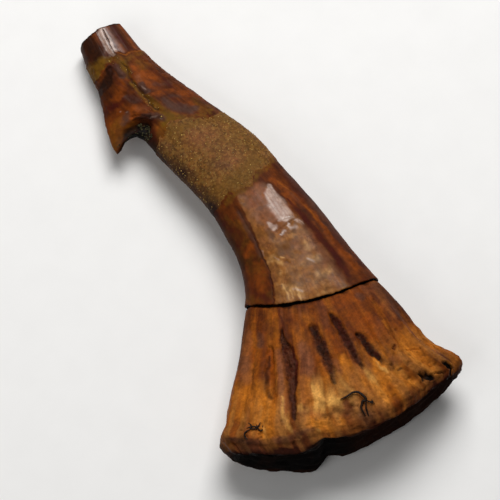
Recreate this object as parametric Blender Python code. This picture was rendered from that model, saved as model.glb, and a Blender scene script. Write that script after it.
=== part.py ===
"""A fossil sawfish rostral tooth, lying on its broad side.

The tooth is one solid: a fluted, flaring base, a smooth crown that stands a little proud
of it, one barb with a pocket behind it, and a tip that broke off square. It lies with a
broad side down and its tip towards +Y, and touches the ground under the rim of the base
and under the tip. Units are metres, with +Z up; the tables below are in millimetres.
"""

import math
from dataclasses import dataclass

import bmesh
import bpy
import numpy as np

MM = 0.001

# ---- Driving dimensions, in millimetres -------------------------------------------------
PLAN_CENTRE = (-0.60, -0.84)    # middle of the tooth's box, in the drawing's own plan

CROWN_EDGE = 13.3               # from the rim of the base to the crown's edge
CROWN_STEP = 0.22               # how far that edge stands proud of the base
CROWN_STEP_FADE = 5.0           # length over which that edge blends into the crown
NECK_GROOVE = 0.30              # depth of the crack under the crown's edge
NECK_GROOVE_AT = 0.15           # how far below that edge it is deepest
NECK_GROOVE_WIDTH = 0.45

FLUTES = 19                     # ridges round the rim of the base
FLUTE_DEPTH = 0.55
FLUTE_FADE = 9.0                # length over which they die out towards the neck
FLUTE_WANDER = 0.9              # how far they shift sideways, in radians of their wave
FLUTE_UNEVEN = 0.3              # how much they differ in height
RIM_LUMP = 0.15                 # how uneven the rim is
RIM_LUMP_REACH = 2.2            # how far up the base that unevenness goes

BOW_SKEW = 0.32                 # how much more the left half of the end bulges
END_LUMP = 0.25                 # how uneven the basal end is

BARB_AT = 40.6                  # from the rim of the base to the barb's back face
BARB_REACH = 3.3                # how far the barb stands out from the shaft
BARB_HOOK = 1.60                # how far its point leans back towards the base
BARB_LENGTH = 6.4               # from where it starts to swell to its back face
BARB_BACK = 0.45                # how steep that back face is
BARB_SPREAD = 0.42              # half its thickness, as an angle round the shaft
POCKET_AT = (40.5, -0.84)       # hollow behind the barb, as a groove's route gives it
POCKET_DEPTH = 1.0
POCKET_RADIUS = 1.15

TIP_RAGGED = 0.22               # unevenness of the broken tip
EDGE_FADE = 0.25                # share of a section's height where grooves die out

POINTS_OVER = 48                # points across the upper half of each section
POINTS_UNDER = 26               # and across the lower half
BASE_POWER = 2.4                # squareness of the sections that the slots cut
SLOT_EDGE = 0.045               # from a slot's middle to the points at its sides, across
ANGLE_CLEARANCE = 0.03          # nearest that a usual point comes to a slot's
ROW_STEP = 1.20                 # usual distance between sections
ROW_CLEARANCE = 0.30            # nearest that a usual section comes to a special one
SEED = 7


@dataclass(frozen=True)
class Section:
    """One cross-section of the tooth, in millimetres.

    left and right are its two edges seen from above, under and over its lowest and
    highest points, bow how far its middle bulges towards the base, and squareness the
    power of its superellipse, where 2 is an ellipse.
    """

    name: str
    left: tuple
    right: tuple
    under: float
    over: float
    bow: float
    squareness: float


@dataclass(frozen=True)
class Groove:
    """A furrow in the upper side: its route, its half width and its depth.

    The route is a few points (along, across): millimetres from the rim of the base, and
    -1 to 1 from the left edge to the right one.
    """

    name: str
    route: tuple
    half_width: float
    depth: float


SECTIONS = (
    Section("rim of the base", (-14.30, -22.1), (12.85, -27.1), 0.25, 8.7, 4.1, 2.5),
    Section("above the rim", (-13.00, -20.1), (11.50, -24.3), -0.20, 9.2, 3.9, 2.5),
    Section("low flare", (-10.80, -17.8), (10.65, -21.6), 0.05, 9.1, 3.5, 2.4),
    Section("mid flare", (-8.00, -14.8), (10.35, -18.4), 0.55, 8.7, 2.9, 2.3),
    Section("high flare", (-5.70, -11.9), (10.00, -15.9), 1.00, 8.2, 2.3, 2.2),
    Section("neck", (-3.70, -9.3), (9.60, -13.8), 1.30, 7.7, 1.9, 2.1),
    Section("low crown", (-2.40, -5.8), (9.15, -9.3), 1.45, 7.4, 1.1, 2.0),
    Section("waist", (-1.95, -1.0), (8.55, -3.0), 1.45, 7.0, 0.5, 2.0),
    Section("shaft", (-2.00, 3.2), (7.65, 2.4), 1.35, 6.7, 0.2, 2.0),
    Section("upper shaft", (-2.90, 7.6), (6.80, 7.6), 1.15, 6.3, 0.0, 2.0),
    Section("behind the barb", (-3.55, 11.2), (5.35, 11.5), 0.90, 5.9, 0.0, 2.0),
    Section("barb", (-4.10, 14.6), (3.95, 14.8), 0.65, 5.5, 0.0, 2.0),
    Section("root of the barb", (-4.85, 17.5), (2.80, 17.8), 0.40, 5.1, 0.0, 2.1),
    Section("above the barb", (-5.25, 21.3), (1.75, 21.1), 0.15, 4.6, 0.0, 2.2),
    Section("below the tip", (-4.85, 24.6), (1.20, 24.4), -0.15, 4.2, 0.0, 2.3),
    Section("tip", (-4.35, 26.8), (0.90, 26.9), 0.05, 3.9, -0.3, 2.4),
)

GROOVES = (
    Groove("first slot", ((2.8, -0.46), (4.6, -0.46), (10.5, -0.51)), 0.50, 0.9),
    Groove("widening of the first slot", ((7.6, -0.48), (9.6, -0.50)), 0.75, 0.5),
    Groove("second slot", ((5.5, -0.05), (7.2, -0.05), (10.7, -0.11)), 0.50, 0.8),
    Groove("third slot", ((5.1, 0.26), (7.3, 0.22), (11.3, 0.18)), 0.52, 0.8),
    Groove("fourth slot", ((4.4, 0.45), (6.3, 0.41), (7.8, 0.37)), 0.50, 0.8),
    Groove("left-hand flute", ((4.6, -0.63), (7.5, -0.67), (9.5, -0.71)), 0.45, 0.4),
    Groove("cavity in the rim", ((0.7, 0.64), (0.3, 0.82)), 0.60, 0.9),
    Groove("fissure", ((13.5, -0.61), (19.5, -0.55), (26.5, -0.52)), 0.40, 0.35),
    Groove("right-hand furrow", ((15.2, 0.60), (19.3, 0.56), (23.2, 0.46)), 0.60, 0.30),
    Groove("furrow near the tip", ((39.8, -0.31), (45.1, -0.26), (49.0, -0.21)), 0.55, 0.30),
)
SLOTS_AT = (-0.48, -0.07, 0.21, 0.41)   # where the four slots lie across the base

# Rings that close the base, from its middle out: how far each is drawn in across and
# upwards, and how far it stands back from the rim towards the tip.
END_PROFILE = (
    ((0.62, 0.10), 1.60),
    ((0.76, 0.28), 1.28),
    ((0.84, 0.50), 0.48),
    ((0.91, 0.74), -0.33),
    ((0.97, 0.91), -0.55),
)
# Rings that close the tip, from its edge in: how far each is drawn in, how far it stands
# out, and its share of the unevenness.
TIP_PROFILE = (
    (1.00, 0.00, 1.0),
    (0.90, 0.20, 0.8),
    (0.55, 0.20, 0.3),
    (0.20, 0.00, 0.0),
)


class SmoothTable:
    """Values given at a few places along the tooth, joined by a smooth curve."""

    def __init__(self, places, values):
        self.places = np.asarray(places, dtype=float)
        self.values = np.asarray(values, dtype=float)
        self.slopes = np.gradient(self.values, self.places)

    def at(self, along):
        """The curve's values at each place in along, by cubic Hermite pieces."""
        along = np.clip(along, self.places[0], self.places[-1])
        after = np.clip(np.searchsorted(self.places, along), 1, len(self.places) - 1)
        before = after - 1
        span = self.places[after] - self.places[before]
        part = (along - self.places[before]) / span
        start, end = self.values[before], self.values[after]
        leave, arrive = self.slopes[before] * span, self.slopes[after] * span
        return (
            start * (1.0 + 2.0 * part) * (1.0 - part) ** 2
            + leave * part * (1.0 - part) ** 2
            + end * part**2 * (3.0 - 2.0 * part)
            + arrive * part**2 * (part - 1.0)
        )


def ease(value):
    """A smooth step from 0 to 1 as value goes from 0 to 1."""
    value = np.clip(value, 0.0, 1.0)
    return value * value * (3.0 - 2.0 * value)


def distance_to_route(x, y, route_x, route_y):
    """Distance of each point (x, y) from a line of straight pieces."""
    nearest = np.full(np.shape(x), np.inf)
    for start in range(len(route_x) - 1):
        run_x = route_x[start + 1] - route_x[start]
        run_y = route_y[start + 1] - route_y[start]
        part = ((x - route_x[start]) * run_x + (y - route_y[start]) * run_y)
        part = np.clip(part / (run_x**2 + run_y**2), 0.0, 1.0)
        gap_x = x - route_x[start] - part * run_x
        gap_y = y - route_y[start] - part * run_y
        nearest = np.minimum(nearest, np.hypot(gap_x, gap_y))
    return nearest


class ToothForm:
    """The tooth's surface over two coordinates, in millimetres.

    along runs from the rim of the base to the tip. angle turns round a section from its
    right edge over the top to its left edge and back underneath.
    """

    def __init__(self, sections, grooves):
        self.grooves = grooves
        left = np.array([section.left for section in sections])
        right = np.array([section.right for section in sections])
        middle = (left + right) / 2.0
        steps = np.hypot(*np.diff(middle, axis=0).T)
        places = np.concatenate(([0.0], np.cumsum(steps)))
        self.length = places[-1]
        self.left_x = SmoothTable(places, left[:, 0])
        self.left_y = SmoothTable(places, left[:, 1])
        self.right_x = SmoothTable(places, right[:, 0])
        self.right_y = SmoothTable(places, right[:, 1])
        self.under = SmoothTable(places, [section.under for section in sections])
        self.over = SmoothTable(places, [section.over for section in sections])
        self.bow = SmoothTable(places, [section.bow for section in sections])
        self.power = SmoothTable(places, [section.squareness for section in sections])
        self.phases = np.random.default_rng(SEED).uniform(0.0, 2.0 * math.pi, 4)

    def half_width(self, along):
        """Half of the distance between a section's two edges."""
        across_x = self.right_x.at(along) - self.left_x.at(along)
        across_y = self.right_y.at(along) - self.left_y.at(along)
        return np.hypot(across_x, across_y) / 2.0

    def barb_swell(self, along):
        """0 away from the barb, rising to 1 at its back face, where it drops away."""
        rise = np.clip((BARB_AT + BARB_LENGTH - along) / BARB_LENGTH, 0.0, 1.0) ** 1.15
        drop = ease((along - BARB_AT + BARB_BACK) / BARB_BACK)
        return rise * drop

    def crown_edge(self, along):
        """The crown's edge, which stands proud, and the crack below it."""
        above = along - CROWN_EDGE
        step = CROWN_STEP * (1.0 - ease(above / CROWN_STEP_FADE))
        crack = -NECK_GROOVE * np.exp(-((above + NECK_GROOVE_AT) / NECK_GROOVE_WIDTH) ** 2)
        return np.where(above > 0.0, step, crack)

    def flutes(self, along, turn):
        """Ridges down the base, which wander a little and differ in height."""
        wander = FLUTE_WANDER * np.sin(3.0 * turn + self.phases[0])
        height = 1.0 - FLUTE_UNEVEN * (1.0 - np.sin(5.0 * turn + self.phases[1]))
        wave = np.cos(FLUTES * turn + wander) * height
        return 0.5 * FLUTE_DEPTH * wave * ease((CROWN_EDGE - along) / FLUTE_FADE)

    def rim_lumps(self, along, turn):
        """Lumps round the rim of the base."""
        wave = np.sin(8.0 * turn + self.phases[2]) + 0.8 * np.sin(13.0 * turn + self.phases[3])
        return RIM_LUMP * wave * np.exp(-((along / RIM_LUMP_REACH) ** 2))

    def carving(self, along, across):
        """Depth of the slots, cracks and hollows in the upper side."""
        carved = np.zeros(np.shape(across))
        side = across * self.half_width(along)
        for groove in self.grooves:
            route_along = np.array([place for place, _ in groove.route])
            route_side = np.array([share for _, share in groove.route])
            route_side = route_side * self.half_width(route_along)
            gap = distance_to_route(along, side, route_along, route_side)
            carved = carved + groove.depth * np.exp(-((gap / groove.half_width) ** 2))
        pocket_side = (across - POCKET_AT[1]) * self.half_width(along)
        pocket = np.hypot(along - POCKET_AT[0], pocket_side) / POCKET_RADIUS
        return carved + POCKET_DEPTH * np.exp(-(pocket**4))

    def relief(self, along, angle, across, upper):
        """How far the surface stands out from the plain section."""
        turn = angle - 0.25 * np.sin(2.0 * angle)   # even steps round the flat base
        carved = self.carving(along, across) * ease(upper / EDGE_FADE)
        raised = self.flutes(along, turn) + self.rim_lumps(along, turn)
        return self.crown_edge(along) + raised - carved

    def points(self, along, angle, inset=(1.0, 1.0), push=0.0):
        """Points of the surface as an array (..., 3) in the drawing's plan.

        inset draws a section in, across and upwards, for the rings that close an end, and
        push moves it along the tooth towards the tip.
        """
        along, angle = np.broadcast_arrays(along, angle)
        power = self.power.at(along)
        cosine, sine = np.cos(angle), np.sin(angle)
        across = np.sign(cosine) * np.abs(cosine) ** (2.0 / power)
        upper = np.sign(sine) * np.abs(sine) ** (2.0 / power)

        half_x = (self.right_x.at(along) - self.left_x.at(along)) / 2.0
        half_y = (self.right_y.at(along) - self.left_y.at(along)) / 2.0
        half = np.hypot(half_x, half_y)
        side_x, side_y = half_x / half, half_y / half
        ahead_x, ahead_y = -side_y, side_x
        high = (self.over.at(along) - self.under.at(along)) / 2.0

        out_side, out_up = across * high, upper * half
        out = np.maximum(np.hypot(out_side, out_up), 1e-9)
        relief = self.relief(along, angle, across, upper)
        sideways = (across * half + relief * out_side / out) * inset[0]
        height = (self.over.at(along) + self.under.at(along)) / 2.0
        height = height + (upper * high + relief * out_up / out) * inset[1]

        fin = np.exp(-((angle - math.pi) / BARB_SPREAD) ** 2) * self.barb_swell(along)
        sideways = sideways - BARB_REACH * fin
        aside = across * inset[0]
        forward = push - self.bow.at(along) * (1.0 - aside**2) * (1.0 - BOW_SKEW * aside)
        forward = forward - BARB_HOOK * fin**2

        x = (self.left_x.at(along) + self.right_x.at(along)) / 2.0
        y = (self.left_y.at(along) + self.right_y.at(along)) / 2.0
        x = x + sideways * side_x + forward * ahead_x
        y = y + sideways * side_y + forward * ahead_y
        return np.stack((x, y, np.maximum(height, 0.0)), axis=-1)


def section_angles():
    """Angles of the points round a section, with points close together at the slots."""
    over = np.linspace(0.0, math.pi, POINTS_OVER, endpoint=False)
    under = np.linspace(math.pi, 2.0 * math.pi, POINTS_UNDER, endpoint=False)
    usual = np.concatenate((over, under))
    usual = usual - 0.11 * np.sin(2.0 * usual)
    slot_middles = np.array(SLOTS_AT)[:, None] + SLOT_EDGE * np.array([-1.0, 0.0, 1.0])
    middles = slot_middles.ravel()
    special = np.arccos(np.sign(middles) * np.abs(middles) ** (BASE_POWER / 2.0))
    gaps = np.abs(usual[:, None] - special[None, :]).min(axis=1)
    return np.sort(np.concatenate((usual[gaps > ANGLE_CLEARANCE], special)))


def section_places(form):
    """Places of the sections: even steps, and close pairs where the form steps."""
    at_neck = CROWN_EDGE + np.array([-1.1, -0.6, -0.15, 0.0, 0.12, 0.7])
    at_barb = BARB_AT + np.array([-1.5, -0.9, -0.45, -0.3, -0.15, 0.0, 0.5, 1.1])
    at_rim = np.array([0.0, 0.5, 1.1])
    special = np.concatenate((at_neck, at_barb, at_rim, [form.length]))
    usual = np.arange(ROW_STEP, form.length, ROW_STEP)
    gaps = np.abs(usual[:, None] - special[None, :]).min(axis=1)
    return np.sort(np.concatenate((usual[gaps > ROW_CLEARANCE], special)))


def end_rings(form, angles):
    """Rings that close the base with a rounded rim and a furrow along its end."""
    uneven = END_LUMP * np.sin(7.0 * angles + 0.5) * np.sin(3.0 * angles)
    return [form.points(0.0, angles, inset, push + uneven) for inset, push in END_PROFILE]


def tip_rings(form, angles):
    """Rings that close the tip with an uneven break."""
    ragged = TIP_RAGGED * (np.sin(3.0 * angles + 0.6) + 0.6 * np.sin(7.0 * angles))
    rings = []
    for inset, push, share in TIP_PROFILE:
        rings.append(form.points(form.length, angles, (inset, inset), push + share * ragged))
    return rings


def join_rings(mesh, lower, upper):
    """Faces between two rings of the same number of points."""
    for here, start in enumerate(lower):
        following = (here + 1) % len(lower)
        mesh.faces.new((start, lower[following], upper[following], upper[here]))


def close_ring(mesh, ring):
    """A fan of faces from a ring to the middle of its points."""
    middle = sum((point.co for point in ring[1:]), ring[0].co.copy()) / len(ring)
    hub = mesh.verts.new(middle)
    for here, start in enumerate(ring):
        mesh.faces.new((start, ring[(here + 1) % len(ring)], hub))


def tooth_mesh(form):
    """The tooth as one closed mesh, in metres, with its box centred on the origin."""
    angles = section_angles()
    places = section_places(form)[:-1]
    outlines = end_rings(form, angles)
    outlines.extend(form.points(place, angles) for place in places)
    outlines.extend(tip_rings(form, angles))

    shift = np.array((*PLAN_CENTRE, 0.0))
    mesh = bmesh.new()
    rings = []
    for outline in outlines:
        rings.append([mesh.verts.new(point) for point in (outline - shift) * MM])
    for lower, upper in zip(rings, rings[1:]):
        join_rings(mesh, lower, upper)
    close_ring(mesh, rings[0])
    close_ring(mesh, rings[-1])
    bmesh.ops.recalc_face_normals(mesh, faces=mesh.faces)

    data = bpy.data.meshes.new("tooth")
    mesh.to_mesh(data)
    mesh.free()
    return data


def fossil_material():
    """Petrified tooth: dark orange-brown with a dull gloss."""
    material = bpy.data.materials.new("petrified tooth")
    material.use_nodes = True
    shader = material.node_tree.nodes["Principled BSDF"]
    shader.inputs["Base Color"].default_value = (0.33, 0.13, 0.035, 1.0)
    shader.inputs["Roughness"].default_value = 0.45
    shader.inputs["Metallic"].default_value = 0.0
    return material


def clear_scene():
    """Removes every object of the scene."""
    for thing in list(bpy.data.objects):
        bpy.data.objects.remove(thing, do_unlink=True)


def main():
    """Builds the tooth in a collection of its own."""
    clear_scene()
    scene = bpy.context.scene
    scene.unit_settings.system = "METRIC"
    collection = bpy.data.collections.new("sawfish rostral tooth")
    scene.collection.children.link(collection)
    data = tooth_mesh(ToothForm(SECTIONS, GROOVES))
    data.materials.append(fossil_material())
    collection.objects.link(bpy.data.objects.new("tooth", data))


if __name__ == "__main__":
    main()
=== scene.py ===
"""The looks of a fossil sawfish rostral tooth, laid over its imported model.

Sizes are in millimetres until a mesh is made. A place on the tooth is given by two
numbers: along, millimetres from the rim of the root towards the tip, and across, -1 at
the left edge to 1 at the right one.
"""

import itertools
import logging
import math
from collections.abc import Iterable
from dataclasses import dataclass, field
from enum import Enum

import bmesh
import bpy
import numpy as np
from bpy.types import ID, Material, Mesh, Node, Object
from bpy.types import NodeSocket as Link, ShaderNodeTree as Tree
from mathutils import Matrix, Vector


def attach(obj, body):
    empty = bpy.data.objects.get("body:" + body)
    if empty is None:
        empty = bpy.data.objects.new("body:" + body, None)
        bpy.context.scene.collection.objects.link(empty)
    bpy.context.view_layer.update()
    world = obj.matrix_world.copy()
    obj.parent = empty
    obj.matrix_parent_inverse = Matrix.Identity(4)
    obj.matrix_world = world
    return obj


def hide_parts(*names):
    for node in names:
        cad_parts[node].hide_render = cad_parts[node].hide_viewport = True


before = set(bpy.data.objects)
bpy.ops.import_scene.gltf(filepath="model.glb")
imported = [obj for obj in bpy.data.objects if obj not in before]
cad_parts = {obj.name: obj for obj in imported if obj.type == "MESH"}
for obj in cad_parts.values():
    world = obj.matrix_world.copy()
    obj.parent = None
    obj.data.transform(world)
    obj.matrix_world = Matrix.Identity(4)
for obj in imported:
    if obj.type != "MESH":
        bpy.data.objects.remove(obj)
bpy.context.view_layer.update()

LOG = logging.getLogger("tooth")
MM = 0.001
WELD = 1e-6  # metres: points nearer than this are one
BUMP = 0.06 * MM  # how high the finest relief is drawn
NOISE = (0.3, 0.7)  # where nearly all values of a noise texture lie

Route = tuple[tuple[float, float, float], ...]
Values = np.ndarray
Size = float | tuple[float, float, float]


# ---- Curves and noise
class SmoothTable:
    """Values given at a few places along the tooth, joined by a smooth curve."""

    def __init__(self, places: list[float], values: list[float]) -> None:
        """Takes the places, in order, and the value at each."""
        self.places = np.asarray(places, dtype=float)
        self.values = np.asarray(values, dtype=float)
        self.slopes = np.gradient(self.values, self.places)

    def at(self, along: Values) -> Values:
        """Reads the curve, a row of cubic Hermite pieces.

        Args:
            along: The places to read it at.

        Returns:
            The curve's value at each place.
        """
        along = np.clip(along, self.places[0], self.places[-1])
        after = np.clip(np.searchsorted(self.places, along), 1, len(self.places) - 1)
        before = after - 1
        span = self.places[after] - self.places[before]
        part = (along - self.places[before]) / span
        start, end = self.values[before], self.values[after]
        leave, arrive = self.slopes[before] * span, self.slopes[after] * span
        return (
            start * (1.0 + 2.0 * part) * (1.0 - part) ** 2
            + leave * part * (1.0 - part) ** 2
            + end * part**2 * (3.0 - 2.0 * part)
            + arrive * part**2 * (part - 1.0)
        )


def ease(value: Values) -> Values:
    """A smooth step from 0 to 1 as value goes from 0 to 1."""
    value = np.clip(value, 0.0, 1.0)
    return value * value * (3.0 - 2.0 * value)


class Noise:
    """Smooth random values in space, the same on every run."""

    CELLS = 48
    MOVED = 7.3  # how far each finer layer is moved, so that no two line up
    FINER = 0.5
    WEAKER = 0.55

    def __init__(self, seed: int) -> None:
        """Fills a lattice with values from -1 to 1."""
        self.lattice = np.random.default_rng(seed).uniform(-1.0, 1.0, (self.CELLS,) * 3)

    def at(self, points: Values, size: Size) -> Values:
        """Reads the noise.

        Args:
            points: Points (..., 3).
            size: The size of one cell, the same or different along each axis.

        Returns:
            One value from -1 to 1 for each point.
        """
        place = points / np.asarray(size, dtype=float)
        cell = np.floor(place).astype(int)
        part = ease(place - cell)
        total = np.zeros(place.shape[:-1])
        for corner in itertools.product((0, 1), repeat=3):
            near = np.where(np.array(corner) == 1, part, 1.0 - part).prod(axis=-1)
            index = (cell + np.array(corner)) % self.CELLS
            total += near * self.lattice[index[..., 0], index[..., 1], index[..., 2]]
        return total

    def rough(self, points: Values, size: Size, octaves: int = 3) -> Values:
        """Adds finer and weaker noise to the noise.

        Args:
            points: Points (..., 3).
            size: The size of the largest cells.
            octaves: How many layers there are, each half as large as the last.

        Returns:
            One value for each point, about -1 to 1.
        """
        size = np.asarray(size, dtype=float)
        total = np.zeros(points.shape[:-1])
        for octave in range(octaves):
            total += self.at(points + self.MOVED * octave, size * self.FINER**octave) * self.WEAKER**octave
        return total


# ---- The form of the tooth, as the solid has it
@dataclass(frozen=True)
class Section:
    """One cross-section of the tooth; its name is only a label.

    left and right are its two edges seen from above, under and over its lowest and
    highest points, bow how far its middle bulges towards the base, and squareness the
    power of its superellipse, where 2 is an ellipse.
    """

    name: str
    left: tuple[float, float]
    right: tuple[float, float]
    under: float
    over: float
    bow: float
    squareness: float


@dataclass(frozen=True)
class Stroke:
    """A streak or a spot on the tooth, cut into it or staining it; its name is only a label.

    route holds points (along, across, half width); amount is a depth in millimetres or a
    stain's strength; soft is the share of the half width over which its edge fades.
    """

    name: str
    route: Route
    amount: float
    soft: float = 0.4


SECTIONS = (
    Section("rim of the base", (-14.3, -22.1), (12.85, -27.1), 0.25, 8.7, 4.1, 2.5),
    Section("above the rim", (-13.0, -20.1), (11.5, -24.3), -0.2, 9.2, 3.9, 2.5),
    Section("low flare", (-10.8, -17.8), (10.65, -21.6), 0.05, 9.1, 3.5, 2.4),
    Section("mid flare", (-8.0, -14.8), (10.35, -18.4), 0.55, 8.7, 2.9, 2.3),
    Section("high flare", (-5.7, -11.9), (10.0, -15.9), 1.0, 8.2, 2.3, 2.2),
    Section("neck", (-3.7, -9.3), (9.6, -13.8), 1.3, 7.7, 1.9, 2.1),
    Section("low crown", (-2.4, -5.8), (9.15, -9.3), 1.45, 7.4, 1.1, 2.0),
    Section("waist", (-1.95, -1.0), (8.55, -3.0), 1.45, 7.0, 0.5, 2.0),
    Section("shaft", (-2.0, 3.2), (7.65, 2.4), 1.35, 6.7, 0.2, 2.0),
    Section("upper shaft", (-2.9, 7.6), (6.8, 7.6), 1.15, 6.3, 0.0, 2.0),
    Section("behind the barb", (-3.55, 11.2), (5.35, 11.5), 0.9, 5.9, 0.0, 2.0),
    Section("barb", (-4.1, 14.6), (3.95, 14.8), 0.65, 5.5, 0.0, 2.0),
    Section("root of the barb", (-4.85, 17.5), (2.8, 17.8), 0.4, 5.1, 0.0, 2.1),
    Section("above the barb", (-5.25, 21.3), (1.75, 21.1), 0.15, 4.6, 0.0, 2.2),
    Section("below the tip", (-4.85, 24.6), (1.2, 24.4), -0.15, 4.2, 0.0, 2.3),
    Section("tip", (-4.35, 26.8), (0.9, 26.9), 0.05, 3.9, -0.3, 2.4),
)


@dataclass
class Places:
    """Where some points lie on the tooth.

    along is in millimetres from the rim, angle turns round a section from its right edge
    over the top, across goes from -1 at the left edge to 1 at the right one, upper from
    -1 underneath to 1 on top, half is the section's half width, and plain holds the
    points of the surface without its relief.
    """

    along: Values
    angle: Values
    across: Values
    upper: Values
    half: Values
    plain: Values

    GRAIN_RADIUS = 5.0
    EVENED = 0.25  # how much turns are spread, for a section is wider than high

    def turn(self) -> Values:
        """The angle, spread so that equal turns are about as long all round a section."""
        return self.angle - self.EVENED * np.sin(2.0 * self.angle)

    def grain(self) -> Values:
        """Points of a straight rod, along which fibres run straight and close round it."""
        turn = self.turn()
        around = (self.GRAIN_RADIUS * np.cos(turn), self.GRAIN_RADIUS * np.sin(turn))
        return np.stack((self.along, *around), axis=-1)


@dataclass
class ToothForm:
    """The tooth's surface, the same as the solid's, with room for finer relief."""

    plan_centre: tuple[float, float] = (-0.6, -0.84)
    crown_edge: float = 13.3
    flutes: int = 19
    flute_depth: float = 0.55
    flute_fade: float = 9.0
    flute_wander: float = 0.9
    flute_uneven: float = 0.3
    rim_lump: float = 0.15
    rim_lump_reach: float = 2.2
    bow_skew: float = 0.32
    barb_at: float = 40.6
    barb_reach: float = 3.6
    barb_hook: float = 1.6
    barb_length: float = 6.4
    barb_back: float = 0.75
    barb_spread: float = 0.42
    barb_bend: float = 2.6  # how late the barb bends towards the root
    barb_curl: float = 0.5  # how far its point turns back to the shaft
    barb_blunt: float = 0.7  # how far its back face is moved to make the point blunt
    barb_flare: float = 1.25  # how late the barb rises from the shaft
    seed: int = 7
    length: float = field(init=False)

    def __post_init__(self) -> None:
        """Works out the curves through the sections."""
        left = np.array([section.left for section in SECTIONS])
        right = np.array([section.right for section in SECTIONS])
        middle = (left + right) / 2.0
        steps = np.hypot(*np.diff(middle, axis=0).T)
        places = np.concatenate(([0.0], np.cumsum(steps)))
        self.length = float(places[-1])
        self.left_x = SmoothTable(places, left[:, 0])
        self.left_y = SmoothTable(places, left[:, 1])
        self.right_x = SmoothTable(places, right[:, 0])
        self.right_y = SmoothTable(places, right[:, 1])
        self.under = SmoothTable(places, [section.under for section in SECTIONS])
        self.over = SmoothTable(places, [section.over for section in SECTIONS])
        self.bow = SmoothTable(places, [section.bow for section in SECTIONS])
        self.power = SmoothTable(places, [section.squareness for section in SECTIONS])
        self.phases = np.random.default_rng(self.seed).uniform(0.0, 2.0 * math.pi, 4)

    def half_chord(self, along: Values) -> tuple[Values, Values]:
        """Half of the way from a section's left edge to its right one, by X and by Y."""
        across_x = self.right_x.at(along) - self.left_x.at(along)
        across_y = self.right_y.at(along) - self.left_y.at(along)
        return across_x / 2.0, across_y / 2.0

    def half_width(self, along: Values) -> Values:
        """Half of the distance between a section's two edges."""
        return np.hypot(*self.half_chord(along))

    def angle_at(self, along: Values, across: Values) -> Values:
        """The angle of a place on the upper side."""
        cosine = np.sign(across) * np.abs(across) ** (self.power.at(along) / 2.0)
        return np.arccos(np.clip(cosine, -1.0, 1.0))

    def lay(self, along: Values, angle: Values) -> Places:
        """Finds the places of points given by along and angle.

        Args:
            along: Millimetres from the rim.
            angle: Angles round the sections.

        Returns:
            The places, with the plain surface's points.
        """
        along, angle = np.broadcast_arrays(along, angle)
        power = self.power.at(along)
        cosine, sine = np.cos(angle), np.sin(angle)
        across = np.sign(cosine) * np.abs(cosine) ** (2.0 / power)
        upper = np.sign(sine) * np.abs(sine) ** (2.0 / power)
        places = Places(along, angle, across, upper, self.half_width(along), np.empty(0))
        places.plain = self.points(places, np.zeros(along.shape))
        return places

    def fin(self, places: Places) -> Values:
        """The barb: 0 on the shaft, rising to 1 on its edge at its back face."""
        rise = np.clip((self.barb_at + self.barb_length - places.along) / self.barb_length, 0.0, 1.0)
        drop = ease((places.along - self.barb_at + self.barb_back) / self.barb_back)
        spread = np.exp(-(((places.angle - math.pi) / self.barb_spread) ** 2))
        return spread * rise**self.barb_flare * drop

    def swell(self, places: Places) -> Values:
        """Height of the root's flutes and of the lumps round its rim."""
        turn = places.turn()
        wander = self.flute_wander * np.sin(3.0 * turn + self.phases[0])
        height = 1.0 - self.flute_uneven * (1.0 - np.sin(5.0 * turn + self.phases[1]))
        fade = ease((self.crown_edge - places.along) / self.flute_fade)
        flutes = 0.5 * self.flute_depth * np.cos(self.flutes * turn + wander) * height * fade
        lumps = np.sin(8.0 * turn + self.phases[2]) + 0.8 * np.sin(13.0 * turn + self.phases[3])
        reach = np.exp(-((places.along / self.rim_lump_reach) ** 2))
        return flutes + self.rim_lump * lumps * reach

    def strokes(self, places: Places, strokes: tuple[Stroke, ...], shift: Values) -> Values:
        """Adds up strokes, each as strong as its amount along its route.

        Args:
            places: Where to read them.
            strokes: The strokes.
            shift: How far the places are moved first (..., 2), for uneven edges.

        Returns:
            The sum of the strokes at each place.
        """
        along = places.along + shift[..., 0]
        side = places.across * places.half + shift[..., 1]
        total = np.zeros(along.shape)
        for stroke in strokes:
            nearest = np.full(along.shape, np.inf)
            route = [(at, share * self.half_width(at), wide) for at, share, wide in stroke.route]
            for start, end in zip(route, route[1:] + route[-1:]):
                run = (end[0] - start[0], end[1] - start[1])
                part = (along - start[0]) * run[0] + (side - start[1]) * run[1]
                part = np.clip(part / max(run[0] ** 2 + run[1] ** 2, 1e-9), 0.0, 1.0)
                gap_along = along - start[0] - part * run[0]
                gap_side = side - start[1] - part * run[1]
                wide = start[2] + part * (end[2] - start[2])
                nearest = np.minimum(nearest, np.hypot(gap_along, gap_side) / wide)
            total += stroke.amount * ease((1.0 + stroke.soft - nearest) / (2.0 * stroke.soft))
        return total

    def points(
        self,
        places: Places,
        relief: Values,
        inset: tuple[Values | float, Values | float] = (1.0, 1.0),
        push: Values | float = 0.0,
    ) -> Values:
        """Points of the surface.

        Args:
            places: Where they lie.
            relief: How far each stands out from the plain section.
            inset: What each section is drawn in by, across and upwards.
            push: How far each point is moved towards the tip.

        Returns:
            Points (..., 3) in millimetres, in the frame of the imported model.
        """
        along = places.along
        half_x, half_y = self.half_chord(along)
        side_x, side_y = half_x / places.half, half_y / places.half
        high = (self.over.at(along) - self.under.at(along)) / 2.0

        out_side, out_up = places.across * high, places.upper * places.half
        out = np.maximum(np.hypot(out_side, out_up), 1e-9)
        sideways = (places.across * places.half + relief * out_side / out) * inset[0]
        height = (self.over.at(along) + self.under.at(along)) / 2.0
        height = height + (places.upper * high + relief * out_up / out) * inset[1]

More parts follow.
